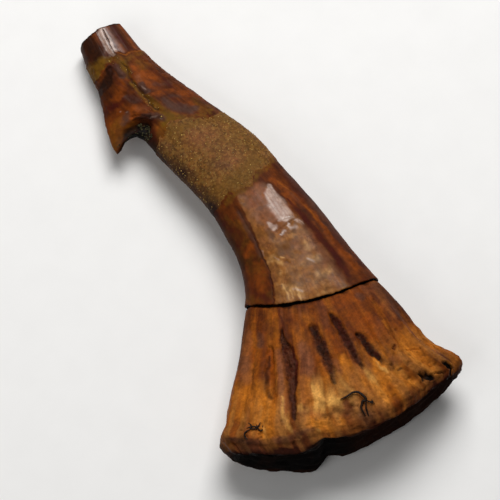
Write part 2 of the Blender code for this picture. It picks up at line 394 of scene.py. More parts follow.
        fin = self.fin(places)
        sideways = sideways - self.barb_reach * fin + self.barb_curl * fin**10
        behind = ease((self.barb_at - along) / (0.25 * self.barb_back)) * ease((fin - 0.35) / 0.45)
        sideways = sideways + self.barb_blunt * behind
        aside = places.across * inset[0]
        forward = push - self.bow.at(along) * (1.0 - aside**2) * (1.0 - self.bow_skew * aside)
        forward = forward - self.barb_hook * fin**self.barb_bend

        x = (self.left_x.at(along) + self.right_x.at(along)) / 2.0 - self.plan_centre[0]
        y = (self.left_y.at(along) + self.right_y.at(along)) / 2.0 - self.plan_centre[1]
        x = x + sideways * side_x - forward * side_y
        y = y + sideways * side_y + forward * side_x
        return np.stack((x, y, np.maximum(height, 0.0)), axis=-1)


# ---- Colours and nodes
def linear(colour: str) -> tuple[float, float, float, float]:
    """Turns an sRGB hex colour into the linear one that Blender's sockets take.

    Args:
        colour: Six hex digits.

    Returns:
        Red, green, blue and an alpha of 1.
    """
    parts = [int(colour[start:start + 2], 16) / 255.0 for start in (0, 2, 4)]
    bent = [part / 12.92 if part <= 0.04045 else ((part + 0.055) / 1.055) ** 2.4 for part in parts]
    return (*bent, 1.0)


class Mineral(Enum):
    """What colours the petrified tissue: the minerals that stain it, and painted shade and painted
    highlights; each is an attribute of a piece's points.
    """

    RUST = "763709"  # iron oxide, orange-brown
    AMBER = "b0661a"  # hydrated iron oxide, the brightest orange; also painted light on the rim above the notch
    STRAW = "c89048"  # bare phosphate, pale, and painted highlights on the root's rim
    GREY = "77452a"  # phosphate with a trace of manganese
    TAN = "805022"  # enamel worn through to a paler layer
    CREAM = "b48650"  # fresh bruises in that layer
    PURPLE = "482e24"  # manganese oxide, thin
    MAROON = "3c1006"  # iron and manganese, dense; also some painted shade on the rim of the root
    UMBER = "240e04"  # manganese with clay, and painted shade
    OLIVE = "60400c"  # a film of greenish sand
    PEARL = "a48878"  # painted highlights: reflections on the polished faces of the enamel, and glints
    BLACK = "060302"  # cracks and holes filled with dust, and painted shade


def add(tree: Tree, kind: str, inputs: dict | None = None, out: int | str = 0, **settings: object) -> Link:
    """Adds a node with its settings, values and links.

    Args:
        tree: The material's node tree.
        kind: The node's type, after ShaderNode.
        inputs: A value, or a socket to link, for each input by name or number.
        out: Which of its outputs is wanted.
        settings: The node's own settings.

    Returns:
        The wanted output; the node is its own node.
    """
    made = tree.nodes.new("ShaderNode" + kind)
    for name, value in settings.items():
        setattr(made, name, value)
    for name, value in (inputs or {}).items():
        if isinstance(value, Link):
            tree.links.new(value, made.inputs[name])
        else:
            made.inputs[name].default_value = value
    return made.outputs[out]


class Finish:
    """What every finish shares."""

    THINNED = (0.72, 1.2)  # what a stain is multiplied by where it is thinnest and thickest

    def start(self, name: str) -> tuple[Material, Tree, Node, Link]:
        """Makes an empty material.

        Args:
            name: The material's name.

        Returns:
            The material, its tree, its Principled shader and the place of what is shaded.
        """
        material = bpy.data.materials.new(name)
        material.use_nodes = True
        tree = material.node_tree
        place = add(tree, "TexCoord", out="Object")
        return material, tree, tree.nodes["Principled BSDF"], place

    def dress(self, tree: Tree, shader: Node, **values: object) -> None:
        """Sets or links the shader's sockets, named with _ for a space.

        Args:
            tree: The material's node tree.
            shader: Its shader.
            values: A value, or a socket to link, for each of its inputs.
        """
        for name, value in values.items():
            socket = shader.inputs[name.replace("_", " ")]
            if isinstance(value, Link):
                tree.links.new(value, socket)
            else:
                socket.default_value = value

    def stains(self, tree: Tree, colour: Link, blots: Link, minerals: tuple[Mineral, ...]) -> Link:
        """Lays the minerals over a colour where the piece's attributes say.

        Args:
            tree: The material's node tree.
            colour: The colour below.
            blots: Noise that thins and thickens every stain.
            minerals: The minerals, the lowest first.

        Returns:
            The stained colour.
        """
        least, most = self.THINNED
        thin = add(tree, "MapRange", {0: blots, 1: NOISE[0], 2: NOISE[1], 3: least, 4: most})
        for mineral in minerals:
            cover = add(tree, "Attribute", out="Fac", attribute_name=mineral.name.lower())
            share = add(tree, "Math", {0: cover, 1: thin}, operation="MULTIPLY", use_clamp=True)
            inputs = {0: share, 6: colour, 7: linear(mineral.value)}
            colour = add(tree, "Mix", inputs, 2, data_type="RGBA")
        return colour

    def shades(self, tree: Tree, colour: Link, shades: tuple[tuple[Link, float, float], ...]) -> Link:
        """Darkens and lightens a colour by noises.

        Args:
            tree: The material's node tree.
            colour: The colour.
            shades: Noises, each with what it multiplies the colour by where it is low and high.

        Returns:
            The shaded colour.
        """
        for noise, low, high in shades:
            shade = add(tree, "MapRange", {0: noise, 1: NOISE[0], 2: NOISE[1], 3: low, 4: high})
            inputs = {0: 1.0, 6: colour, 7: shade}
            colour = add(tree, "Mix", inputs, 2, data_type="RGBA", blend_type="MULTIPLY")
        return colour

    def blend(self, tree: Tree, noise: Link, ends: tuple[object, object], low: float, high: float,
              most: float = 1.0) -> Link:
        """Goes from one colour to another as a noise rises.

        Args:
            tree: The material's node tree.
            noise: The noise.
            ends: The two colours, as values or sockets.
            low: The noise up to which there is only the first.
            high: The noise from which there is as much of the second as there can be.
            most: The second colour's largest share.

        Returns:
            The blended colour.
        """
        share = add(tree, "MapRange", {0: noise, 1: low, 2: high, 4: most})
        return add(tree, "Mix", {0: share, 6: ends[0], 7: ends[1]}, 2, data_type="RGBA")


def per_mm(size: float) -> float:
    """The scale of a texture on coordinates in metres whose features are size millimetres."""
    return 1.0 / (size * MM)


def drawn_out(long: float, wide: float) -> tuple[float, float, float]:
    """The scale of a texture on grain coordinates whose features are so long and so wide."""
    return 1.0 / long, 1.0 / wide, 1.0 / wide


@dataclass(frozen=True)
class FibrousDentine(Finish):
    """Petrified dentine of the root: a fibrous, stony, slightly waxy surface.

    It broke and weathered along its fibres, so it shows streaks that run down the root
    and only a dull shine on the ridges that were handled.
    """

    dark: str = "55260a"
    middle: str = "6f3509"
    light: str = "884c10"
    streak: tuple[float, float] = (5.5, 0.85)  # bundles of fibres, long and wide
    fibre: tuple[float, float] = (2.4, 0.22)  # single fibres, drawn twice as wide as they are
    blot: float = 1.5
    mottle: float = 0.5
    grit: float = 0.2  # single crystals, drawn coarser than they are
    rubble: tuple[str, str] = ("1c0b08", "54301f")  # crumbs of matrix in the slots
    crumb: float = 0.26
    roughness: tuple[float, float] = (0.55, 0.75)
    ior: float = 1.58  # fluorapatite with pores
    shine: float = 0.05  # pores leave little of the usual reflection

    def material(self) -> Material:
        """Makes the material."""
        material, tree, shader, place = self.start("petrified fibrous dentine")
        grain = add(tree, "Attribute", out="Vector", attribute_name="grain")
        streaks, fibres = (
            add(tree, "TexNoise", {"Scale": 1.0, "Detail": 3.0, "Roughness": 0.6, "Vector": add(
                tree, "Mapping", {"Vector": grain, "Scale": drawn_out(*sizes)})})
            for sizes in (self.streak, self.fibre)
        )
        blots, mottle, grit = (
            add(tree, "TexNoise", {"Vector": place, "Scale": per_mm(size), "Detail": detail})
            for size, detail in ((self.blot, 4.0), (self.mottle, 3.0), (self.grit, 2.0))
        )
        colour = self.blend(tree, blots, (linear(self.dark), linear(self.middle)), 0.38, 0.62)
        colour = self.blend(tree, streaks, (colour, linear(self.light)), 0.45, 0.68, 0.7)
        minerals = (Mineral.RUST, Mineral.AMBER, Mineral.GREY, Mineral.STRAW, Mineral.PURPLE,
                    Mineral.UMBER, Mineral.MAROON, Mineral.BLACK)
        inputs = {"Vector": place, "Scale": per_mm(self.crumb), "Detail": 3.0}
        crumbs = add(tree, "TexNoise", inputs)
        rubble = self.blend(tree, crumbs, tuple(linear(tone) for tone in self.rubble), 0.38, 0.66)
        share = add(tree, "Attribute", out="Fac", attribute_name="rubble")
        colour = add(tree, "Mix", {0: share, 6: colour, 7: rubble}, 2, data_type="RGBA")
        colour = self.stains(tree, colour, blots, minerals)
        shades = ((streaks, 0.76, 1.24), (fibres, 0.88, 1.14), (mottle, 0.78, 1.22), (grit, 0.86, 1.16))
        colour = self.shades(tree, colour, shades)
        rough = add(tree, "MapRange", {0: blots, 3: self.roughness[0], 4: self.roughness[1]})
        bump = add(tree, "Bump", {"Height": fibres, "Strength": 0.25, "Distance": 0.08 * MM})
        for height, strength in ((mottle, 0.35), (grit, 0.3)):
            inputs = {"Height": height, "Strength": strength, "Distance": BUMP, "Normal": bump}
            bump = add(tree, "Bump", inputs)
        self.dress(tree, shader, Base_Color=colour, Roughness=rough, Normal=bump,
                   IOR=self.ior, Specular_IOR_Level=self.shine)
        return material


@dataclass(frozen=True)
class WornEnamel(Finish):
    """Petrified enamel of the crown: glassy, stained through, polished by wear.

    Stains lie under the surface, so colours are soft, and where wear has polished it
    there is a clear shine on top of them.
    """

    dark: str = "3c1804"
    middle: str = "522406"
    light: str = "6a330a"
    streak: tuple[float, float] = (4.0, 0.7)  # bundles of prisms, long and wide
    crazing: tuple[float, float] = (2.6, 1.3)  # pieces between the fine cracks
    bending: float = 1.0  # of those cracks
    blot: float = 1.8
    mottle: float = 0.55
    crack: str = "3a1d10"  # dust in the fine cracks
    dull: float = 0.6  # roughness under the polish
    ior: float = 1.63  # fluorapatite
    shine: float = 0.05  # what fine scratches leave of its reflection
    polish: float = 0.9  # how strong the polished faces shine
    polish_rough: float = 0.28

    def material(self) -> Material:
        """Makes the material."""
        material, tree, shader, place = self.start("petrified worn enamel")
        grain = add(tree, "Attribute", out="Vector", attribute_name="grain")
        fibres = add(tree, "Mapping", {"Vector": grain, "Scale": drawn_out(*self.streak)})
        streaks = add(tree, "TexNoise", {"Vector": fibres, "Scale": 1.0, "Detail": 2.0})
        blots, mottle = (
            add(tree, "TexNoise", {"Vector": place, "Scale": per_mm(size), "Detail": 4.0})
            for size in (self.blot, self.mottle)
        )
        colour = self.blend(tree, blots, (linear(self.dark), linear(self.middle)), 0.38, 0.62)
        colour = self.blend(tree, streaks, (colour, linear(self.light)), 0.45, 0.75, 0.4)
        minerals = (Mineral.RUST, Mineral.TAN, Mineral.GREY, Mineral.AMBER, Mineral.CREAM, Mineral.OLIVE,
                    Mineral.PURPLE, Mineral.UMBER, Mineral.MAROON, Mineral.PEARL, Mineral.BLACK)
        colour = self.stains(tree, colour, mottle, minerals)
        colour = self.shades(tree, colour, ((mottle, 0.84, 1.18), (streaks, 0.92, 1.08), (blots, 0.88, 1.12)))

        bent = add(tree, "TexNoise", {"Vector": place, "Scale": per_mm(self.bending), "Detail": 2.0}, 1)
        cells = add(tree, "Mapping", {"Vector": grain, "Scale": drawn_out(*self.crazing)})
        cells = add(tree, "VectorMath", {0: cells, 1: bent}, operation="ADD")
        inputs = {"Vector": cells, "Scale": 1.0}
        cracks = add(tree, "TexVoronoi", inputs, feature="DISTANCE_TO_EDGE")
        cracks = add(tree, "MapRange", {0: cracks, 1: 0.0, 2: 0.035, 3: 0.45, 4: 0.0})
        share = add(tree, "MapRange", {0: blots, 1: 0.45, 2: 0.6})
        share = add(tree, "Math", {0: cracks, 1: share}, operation="MULTIPLY")
        inputs = {0: share, 6: colour, 7: linear(self.crack)}
        colour = add(tree, "Mix", inputs, 2, data_type="RGBA")

        polish = add(tree, "Attribute", out="Fac", attribute_name="polish")
        coat = add(tree, "Math", {0: polish, 1: self.polish}, operation="MULTIPLY")
        bump = add(tree, "Bump", {"Height": mottle, "Strength": 0.3, "Distance": BUMP})
        self.dress(tree, shader, Base_Color=colour, Roughness=self.dull, Normal=bump, Coat_Normal=bump,
                   IOR=self.ior, Specular_IOR_Level=self.shine, Coat_Weight=coat,
                   Coat_Roughness=self.polish_rough, Coat_IOR=self.ior)
        return material


@dataclass(frozen=True)
class CementedSand(Finish):
    """Quartz and phosphate sand cemented by iron: rough, speckled, with tiny glints."""

    matrix: str = "583a0c"
    grey: str = "70451e"
    grains: tuple[str, ...] = ("7e5620", "5a360c", "84602c", "4c2e0c", "74481e")
    grain_size: float = 0.24  # fine sand is 0.12 to 0.25 mm
    bare: float = 0.48  # how much of the grains' own tones shows
    blot: float = 2.4
    clump: float = 0.6
    roughness: float = 0.72
    ior: float = 1.54  # quartz
    shine: float = 0.15  # the pits between the grains swallow the rest

    def material(self) -> Material:
        """Makes the material."""
        material, tree, shader, place = self.start("cemented phosphate sand")
        blots, clumps, dust = (
            add(tree, "TexNoise", {"Vector": place, "Scale": per_mm(size), "Detail": fine, "Roughness": 0.6})
            for size, fine in ((self.blot, 3.0), (self.clump, 3.0), (self.grain_size * 0.6, 2.0))
        )
        inputs = {"Vector": place, "Scale": per_mm(self.grain_size)}
        chance = add(tree, "TexVoronoi", inputs, "Color")
        chance = add(tree, "SeparateColor", {0: chance})
        tones = add(tree, "ValToRGB", {0: chance})
        stops = tones.node.color_ramp
        stops.interpolation = "CONSTANT"
        for step, grain in enumerate(self.grains):
            place_of = step / len(self.grains)
            stop = stops.elements[step] if step < 2 else stops.elements.new(place_of)
            stop.position = place_of
            stop.color = linear(grain)
        colour = self.blend(tree, blots, (linear(self.matrix), linear(self.grey)), 0.38, 0.62)
        colour = add(tree, "Mix", {0: self.bare, 6: colour, 7: tones}, 2, data_type="RGBA")
        minerals = (Mineral.RUST, Mineral.GREY, Mineral.OLIVE, Mineral.PURPLE, Mineral.UMBER)
        colour = self.stains(tree, colour, blots, minerals)
        colour = self.shades(tree, colour, ((clumps, 0.84, 1.16), (dust, 0.78, 1.22)))
        bump = add(tree, "Bump", {"Height": dust, "Strength": 0.3, "Distance": BUMP})
        self.dress(tree, shader, Base_Color=colour, Roughness=self.roughness, Normal=bump,
                   IOR=self.ior, Specular_IOR_Level=self.shine)
        return material


@dataclass(frozen=True)
class LooseGrains(Finish):
    """Single sand grains, from smoky to honey-coloured quartz, rounded and a bit glassy."""

    name: str = "quartz sand grains"
    tones: tuple[str, ...] = ("48290a", "5e3c0e", "6a4614", "76521c", "80581e", "b8944a")
    roughness: float = 0.35
    ior: float = 1.54  # quartz
    shine: float = 0.25  # dust dulls them
    cloud: float = 0.1

    def material(self) -> Material:
        """Makes the material, whose colour goes by each grain's own tone."""
        material, tree, shader, place = self.start(self.name)
        tone = add(tree, "Attribute", out="Fac", attribute_name="tone")
        tones = add(tree, "ValToRGB", {0: tone})
        stops = tones.node.color_ramp.elements
        for step, colour in enumerate(self.tones):
            stop = stops[step] if step < 2 else stops.new(0.0)
            stop.position = step / (len(self.tones) - 1)
            stop.color = linear(colour)
        cloud = add(tree, "TexNoise", {"Vector": place, "Scale": per_mm(self.cloud), "Detail": 3.0})
        colour = self.shades(tree, tones, ((cloud, 0.8, 1.2),))
        self.dress(tree, shader, Base_Color=colour, Roughness=self.roughness, IOR=self.ior,
                   Specular_IOR_Level=self.shine)
        return material


@dataclass(frozen=True)
class DryRootlet(Finish):
    """A dry plant rootlet, nearly black, with a faint sheen along it."""

    dark: str = "0c0604"
    light: str = "2a1a10"
    roughness: float = 0.6
    ior: float = 1.5
    shine: float = 0.15  # dust dulls it too
    bark: float = 0.2

    def material(self) -> Material:
        """Makes the material."""
        material, tree, shader, place = self.start("dry rootlet")
        bark = add(tree, "TexNoise", {"Vector": place, "Scale": per_mm(self.bark), "Detail": 3.0})
        colours = {0: bark, 6: linear(self.dark), 7: linear(self.light)}
        colour = add(tree, "Mix", colours, 2, data_type="RGBA")
        self.dress(tree, shader, Base_Color=colour, Roughness=self.roughness, IOR=self.ior,
                   Specular_IOR_Level=self.shine)
        return material


@dataclass(frozen=True)
class MattPaper(Finish):
    """A sheet of white paper for the floor: matt, with hardly any tooth."""

    colour: str = "f1f0ee"
    shade: str = "ebeae8"
    flock: float = 4.0
    roughness: float = 0.9

    def material(self) -> Material:
        """Makes the material."""
        material, tree, shader, place = self.start("matt white paper")
        fibre = add(tree, "TexNoise", {"Vector": place, "Scale": per_mm(self.flock), "Detail": 3.0})
        colours = {0: fibre, 6: linear(self.colour), 7: linear(self.shade)}
        colour = add(tree, "Mix", colours, 2, data_type="RGBA")
        self.dress(tree, shader, Base_Color=colour, Roughness=self.roughness)
        return material


# ---- What is cut into the tooth, what stains it, and the shade and highlights painted on it
def parted(hundredths: float) -> float:
    """Hundredths as a share of one, rounded so that 29.2 gives exactly 0.292."""
    return round(hundredths / 100.0, 6)


Stains = dict[Mineral, tuple[Stroke, ...]]


def as_strokes(*rows: tuple) -> tuple[Stroke, ...]:
    """Makes strokes of the rows of a table.

    Args:
        rows: For each, its name, amount, softness and the points of its route, where only
            a point's place along the tooth is in millimetres, and the rest in hundredths.

    Returns:
        The strokes.
    """
    made = []
    for name, amount, soft, *points in rows:
        route = tuple((float(along), parted(across), parted(half)) for along, across, half in points)
        made.append(Stroke(name, route, parted(amount), parted(soft)))
    return tuple(made)


ROOT_SLOTS = as_strokes(
    ("first slot", 42, 60, (11.1, -55, 12), (10.2, -53, 24), (9.4, -51, 46), (8.7, -48.5, 66), (7.8, -47, 68),
     (7, -46, 58), (6.1, -45.5, 42), (4.8, -45.3, 31), (3.7, -44.5, 27), (2.8, -44.7, 26)),
    ("second slot", 38, 80, (10.9, -15, 22), (10.2, -13, 44), (8.8, -9, 56), (7.4, -6.2, 50), (6.2, -3.5, 42),
     (5, -2.2, 24)),
    ("third slot", 38, 80, (11.2, 15, 22), (10, 18, 44), (8.6, 21, 45), (7.3, 24, 43), (6, 26.8, 38),
     (4.8, 29.2, 22)),
    ("fourth slot", 38, 80, (8.2, 35.5, 16), (7.2, 40, 40), (6, 44, 52), (5, 46.8, 42), (4.4, 48, 20)),
)
ROOT_HOLES = as_strokes(
    ("cavity in the rim", 55, 60, (0.95, 66, 18), (0.72, 69.5, 27), (0.45, 73, 20)),
    ("crack from the cavity", 30, 40, (0.45, 76, 9), (0.1, 80, 10)),
    ("slit in the rim", 50, 50, (0.75, 85, 13), (0.4, 87, 24), (0.1, 88.5, 18)),
    ("left flute", 32, 80, (9.6, -69, 20), (7.5, -67, 42), (5.2, -65, 40), (4.6, -64, 25)),
    ("outer flute", 18, 70, (7.6, -84, 15), (5.8, -82, 24), (4.2, -80, 15)),
    ("upper pit", 30, 40, (4.75, 65.5, 20)),
    ("outer pit", 20, 40, (6.1, 77, 10)),
    ("pit by the rootlet", 25, 40, (2.2, 5, 22)),
    ("small crack", 20, 40, (3.7, 72, 5), (3.4, 78, 8), (3.1, 83, 5)),
    ("terrace", 12, 40, (3, -34, 40), (2.6, -20, 50), (2.2, -8, 50)),
)
ROOT_RIDGES = as_strokes(
    ("lump in the first slot", 26, 40, (8.5, -45.5, 22), (7.6, -45, 26)),
    ("pale ledge", 10, 40, (3.9, -36, 22), (4.2, -26, 25), (3.6, -12, 22)),
    ("ridge right of the second slot", 12, 40, (7.6, 6, 22), (5.4, 10, 30), (3.8, 15, 25)),
    ("ridge right of the fourth slot", 12, 40, (5.3, 40, 15), (4.2, 43, 25), (3.2, 47, 20)),
)
ROOT_STAINS = {
    Mineral.RUST: as_strokes(
        ("top right", 75, 70, (12.2, 32, 90), (12.3, 58, 50)),
        ("outer left streak", 60, 40, (9.3, -86, 20), (8.2, -87, 22)),
        ("left flute", 95, 40, (9, -68, 30), (7.5, -67, 38), (5, -65, 38)),
        ("right of the first slot", 60, 80, (11.2, -34, 70), (10, -36, 35)),
        ("first slot", 25, 80, (9, -49, 35), (7.2, -46, 35), (5, -45.3, 22)),
        ("between the slots", 50, 40, (10, 4, 40), (7.8, 7, 40)),
        ("right field", 55, 40, (10.5, 45, 100), (8, 52, 90), (6.5, 60, 80)),
        ("low right", 60, 40, (2.6, 55, 70), (1.6, 50, 80), (1.2, 30, 80)),
        ("low left", 40, 90, (6.4, -80, 40), (4.4, -84, 35), (2.6, -62, 35)),
    ),
    Mineral.AMBER: as_strokes(
        ("golden spot", 28, 90, (12, -22, 50), (11.5, -16, 50)),
        ("between the first slots", 30, 90, (10.8, -33, 60), (9.6, -31, 50)),
        ("right streak", 25, 40, (7.8, 69, 25), (7, 71, 25)),
        ("lower left", 70, 60, (5.4, -74, 90), (3.8, -73, 180), (1.6, -66, 190)),
        ("left edge", 30, 80, (5.2, -92, 60), (3.5, -92, 80)),
        ("low middle", 75, 60, (5.8, -32, 70), (4.2, -28, 130), (2.4, -28, 130), (1.1, -24, 110)),
        ("right of the slots", 80, 55, (6.8, 11, 40), (5.2, 14, 80), (3.2, 24, 120), (1.9, 28, 110)),
        ("far right", 80, 60, (4.6, 42, 50), (3, 40, 90)),
        ("middle right", 35, 80, (7.4, 30, 25), (5, 36, 50), (4.6, 52, 80), (3, 56, 90), (2, 50, 90)),
        ("above the rim", 45, 80, (1.5, 30, 50), (1.2, 45, 50), (1, 60, 30)),
        ("right corner", 35, 70, (5.4, 84, 50), (4.2, 74, 80), (3, 80, 90), (2.2, 91, 60)),
        ("by the corner", 30, 80, (2.9, 58, 50)),
        # Painted light: the rim above the notch turns away from the key light and is lifted to a bright
        # orange.
        ("above the notch", 100, 70, (1.5, -32, 60), (1.1, -22, 80), (1.1, -10, 60)),
    ),
    Mineral.GREY: as_strokes(
        ("left edge", 50, 70, (10.8, -93, 30), (8.2, -93, 50), (6.5, -90, 50)),
        ("left of the first slot", 65, 60, (9, -60, 30), (7, -56.5, 28), (5, -55, 22), (2.6, -53, 20)),
        ("right of the first slot", 65, 60, (9.2, -31, 55), (8, -28, 60), (6.8, -27, 50)),
        ("right of the second slot", 40, 80, (6.8, 3, 25), (5.6, 5, 25)),
        ("right field", 25, 80, (8, 62, 40), (7, 60, 40)),
        ("lower streaks", 50, 80, (3.4, 62, 50), (4, 56, 30)),
        ("lump in the first slot", 95, 70, (8.9, -46.5, 24), (7.9, -45.5, 28), (7, -45, 20)),
        ("seam by the rim", 60, 60, (1.4, -47, 25), (0.6, -46, 50), (0.4, -60, 40)),
        ("by the rootlet", 50, 70, (2.4, 0, 40), (2.2, 8, 35)),
        ("terrace", 40, 90, (3.2, -34, 50), (2.8, -24, 50)),
    ),
    Mineral.STRAW: as_strokes(
        ("brightest part", 60, 95, (5.6, -27, 30), (4.8, -24, 50), (3.9, -18, 50), (3.4, -10, 35)),
        ("round it", 28, 95, (5.6, -22, 80), (4, -12, 140), (2.8, 0, 120)),
        ("ridge beside the second slot", 20, 90, (6.2, -1, 16), (4.4, 6.5, 22), (3.2, 12, 22)),
        ("ridge below the third slot", 50, 90, (5.2, 26, 18), (4, 30, 30), (3, 36, 30)),
        ("ridge below the fourth slot", 50, 80, (5.2, 40, 12), (4.2, 42, 18), (3.3, 47, 14)),
        ("lower left", 55, 90, (4.4, -76, 40), (3.6, -74, 50), (2, -70, 40)),
        ("edge of the left flute", 40, 80, (6.6, -73, 7), (5, -71, 10)),
        ("other edge of it", 35, 80, (6.8, -60, 9), (5.4, -59.5, 11)),
        ("streak left of the slot", 40, 95, (4.8, -54, 12), (2.8, -53, 20), (1.6, -49, 30)),
        ("terrace", 50, 90, (3.6, -40, 30), (3.3, -18, 40), (3.1, -4, 25)),
        # Painted highlights on the rim.
        ("rim glints", 70, 90, (0.42, -42, 14)),
        ("second glint", 60, 90, (0.62, -28, 18)),
    ),
    Mineral.PURPLE: as_strokes(
        ("left patch", 60, 70, (10.5, -80, 25), (9.6, -79, 30)),
        ("left edge", 40, 80, (8.4, -93, 35), (7.4, -93, 35)),
        ("below the crown on the right", 55, 70, (11.9, 58, 30), (11.3, 62, 35)),
        ("right edge", 45, 80, (12, 85, 50), (9.5, 86, 60), (7.5, 88, 50)),
        ("rim", 25, 70, (0.2, -75, 50), (0.3, -90, 40)),
        ("foot of the rootlet", 70, 70, (1.2, 10, 40), (0.5, 12, 70)),
        ("first slot", 70, 70, (8.6, -44, 30), (6.6, -44, 34), (4.8, -45, 30), (2.9, -44.7, 26)),
        ("lip of the rim", 40, 80, (0.35, -95, 35), (0.3, -70, 35), (0.75, -45, 30), (0.9, -30, 30)),
    ),
    Mineral.UMBER: as_strokes(
        ("upper left", 35, 90, (12.4, -80, 30), (11.4, -70, 50), (10.6, -66, 30)),
        # Painted shade along both edges of the outline, where the root turns down and away from the light.
        ("left silhouette", 50, 80, (12.9, -97, 50), (10.5, -98, 30), (7.5, -98, 30)),
        ("right silhouette", 50, 80, (12.2, 95, 60), (9, 95, 60), (6.5, 96, 40)),
        ("edge of the left flute", 75, 70, (8.6, -70, 8), (6.6, -70.5, 16), (5.6, -70, 22), (5, -66, 25)),
        ("outer flute", 40, 80, (7.4, -84, 10), (5.6, -82, 14)),
        ("second slot", 35, 80, (10.6, -14, 30), (8.8, -9, 40), (6.4, -4, 34)),
        ("third slot", 60, 80, (10.8, 16, 30), (8.6, 21, 32), (6.4, 26, 28)),
        ("fourth slot", 60, 80, (7.4, 39, 25), (6, 44, 36), (4.9, 47, 26)),
        ("pits", 45, 40, (2.5, -10, 20), (2.1, -4, 25)),
        ("low pits", 35, 40, (2.6, -20, 18), (2.3, -14, 20)),
        ("right corner", 35, 70, (2.2, 84, 35), (1.4, 85, 50), (0.7, 93, 50)),
        ("under the cavity", 40, 80, (1.4, 66, 50), (0.5, 72, 50)),
        ("left corner", 20, 80, (2.2, -90, 50), (1.6, -93, 40)),
        ("below the fourth slot", 50, 80, (5.2, 47.5, 22), (4.4, 50, 28), (3.2, 54, 22)),
        ("foot of the rootlet", 50, 80, (0.9, 10, 30), (0.3, 13, 50)),
        ("left of the cavity", 32, 90, (3.8, 56, 40), (2.8, 57, 50), (1.9, 60, 40)),
    ),
    Mineral.MAROON: as_strokes(
        ("vein above the first slot", 60, 40, (13.1, -58, 9), (12, -53, 12), (11, -51, 18)),
        ("spot beside it", 45, 80, (11.8, -42, 28)),
        ("right edge of the slot", 80, 70, (9.4, -43, 12), (8, -40.5, 16), (6.2, -41, 14)),
        ("upper pit", 80, 40, (4.75, 65.5, 24)),
        ("outer pit", 60, 40, (6.1, 77, 14)),
        ("low pit", 60, 40, (2.2, 5, 22)),
        ("dark field", 40, 80, (9, 33, 30), (7, 33, 25)),
        ("first slot", 35, 60, (9.2, -49, 45), (7.2, -46.5, 55), (5, -45.5, 35), (2.9, -44.7, 25)),
        ("third slot", 35, 70, (10.8, 16, 30), (8.6, 21, 35), (6.6, 25.5, 30)),
    ),
}
CROWN_CUTS = as_strokes(
    ("fissure", 4, 90, (25, -54, 4), (23, -55, 7), (20.3, -57, 12), (18.6, -56, 14), (17, -56, 7),
     (15.6, -59, 6), (13.2, -62, 6)),
    ("right furrow", 5, 95, (23.6, 50, 50), (19.3, 58, 70), (15, 63, 60)),
    ("furrow near the tip", 12, 90, (48, 2, 10), (47.1, 5, 14), (46.1, -7, 18), (45.1, -13, 14),
     (44.2, -15, 18), (43, -19, 14), (42.2, -19, 20), (41.5, -30, 18), (40.4, -27, 16)),
    ("pit in the window", 10, 90, (17.5, -21, 20)),
    ("dent in the window", 4, 90, (19.2, 12, 50)),
    ("polished facet", 3, 20, (25.8, 30, 35), (24, 24, 80), (22.3, 22, 95)),
    ("chip below the facet", 9, 40, (20.95, -12, 10), (21.25, 11, 16), (21.65, 36, 12)),
    ("crack in the tip", 10, 60, (52.6, 7, 4), (51.6, 6, 7), (50.4, 0, 4), (49.3, 0, 3)),
    ("hollow under the olive patch", 12, 40, (47.8, -40, 30), (47.4, -62, 45), (46.9, -85, 40)),
    ("ledge of the barb", 14, 40, (41.7, -80, 8), (41.1, -68, 12), (40.3, -55, 12)),
    ("second ledge", 14, 40, (41, -79, 8), (40.5, -68, 10), (39.9, -60, 10)),
)
CROWN_BUMPS = as_strokes(
    ("ridge right of the furrow", 8, 80, (25, 66, 35), (21.1, 73, 35), (15.5, 79, 35)),
    ("step above the chip", 5, 40, (22.1, 0, 10), (22.1, 36, 12)),
    ("upper blob", 20, 60, (47.6, -22, 28), (46.7, -20, 30)),
    ("middle blob", 20, 60, (44, -2, 28), (43.4, -6, 24)),
    ("lower blob", 16, 60, (40.1, -45, 35), (39.7, -38, 25)),
    ("pebble in the furrow", 12, 60, (40.8, -28, 14)),
    ("olive ledge", 12, 40, (48.6, -21, 8), (48.1, -46, 8), (47.9, -72, 8), (47.9, -96, 8)),
)
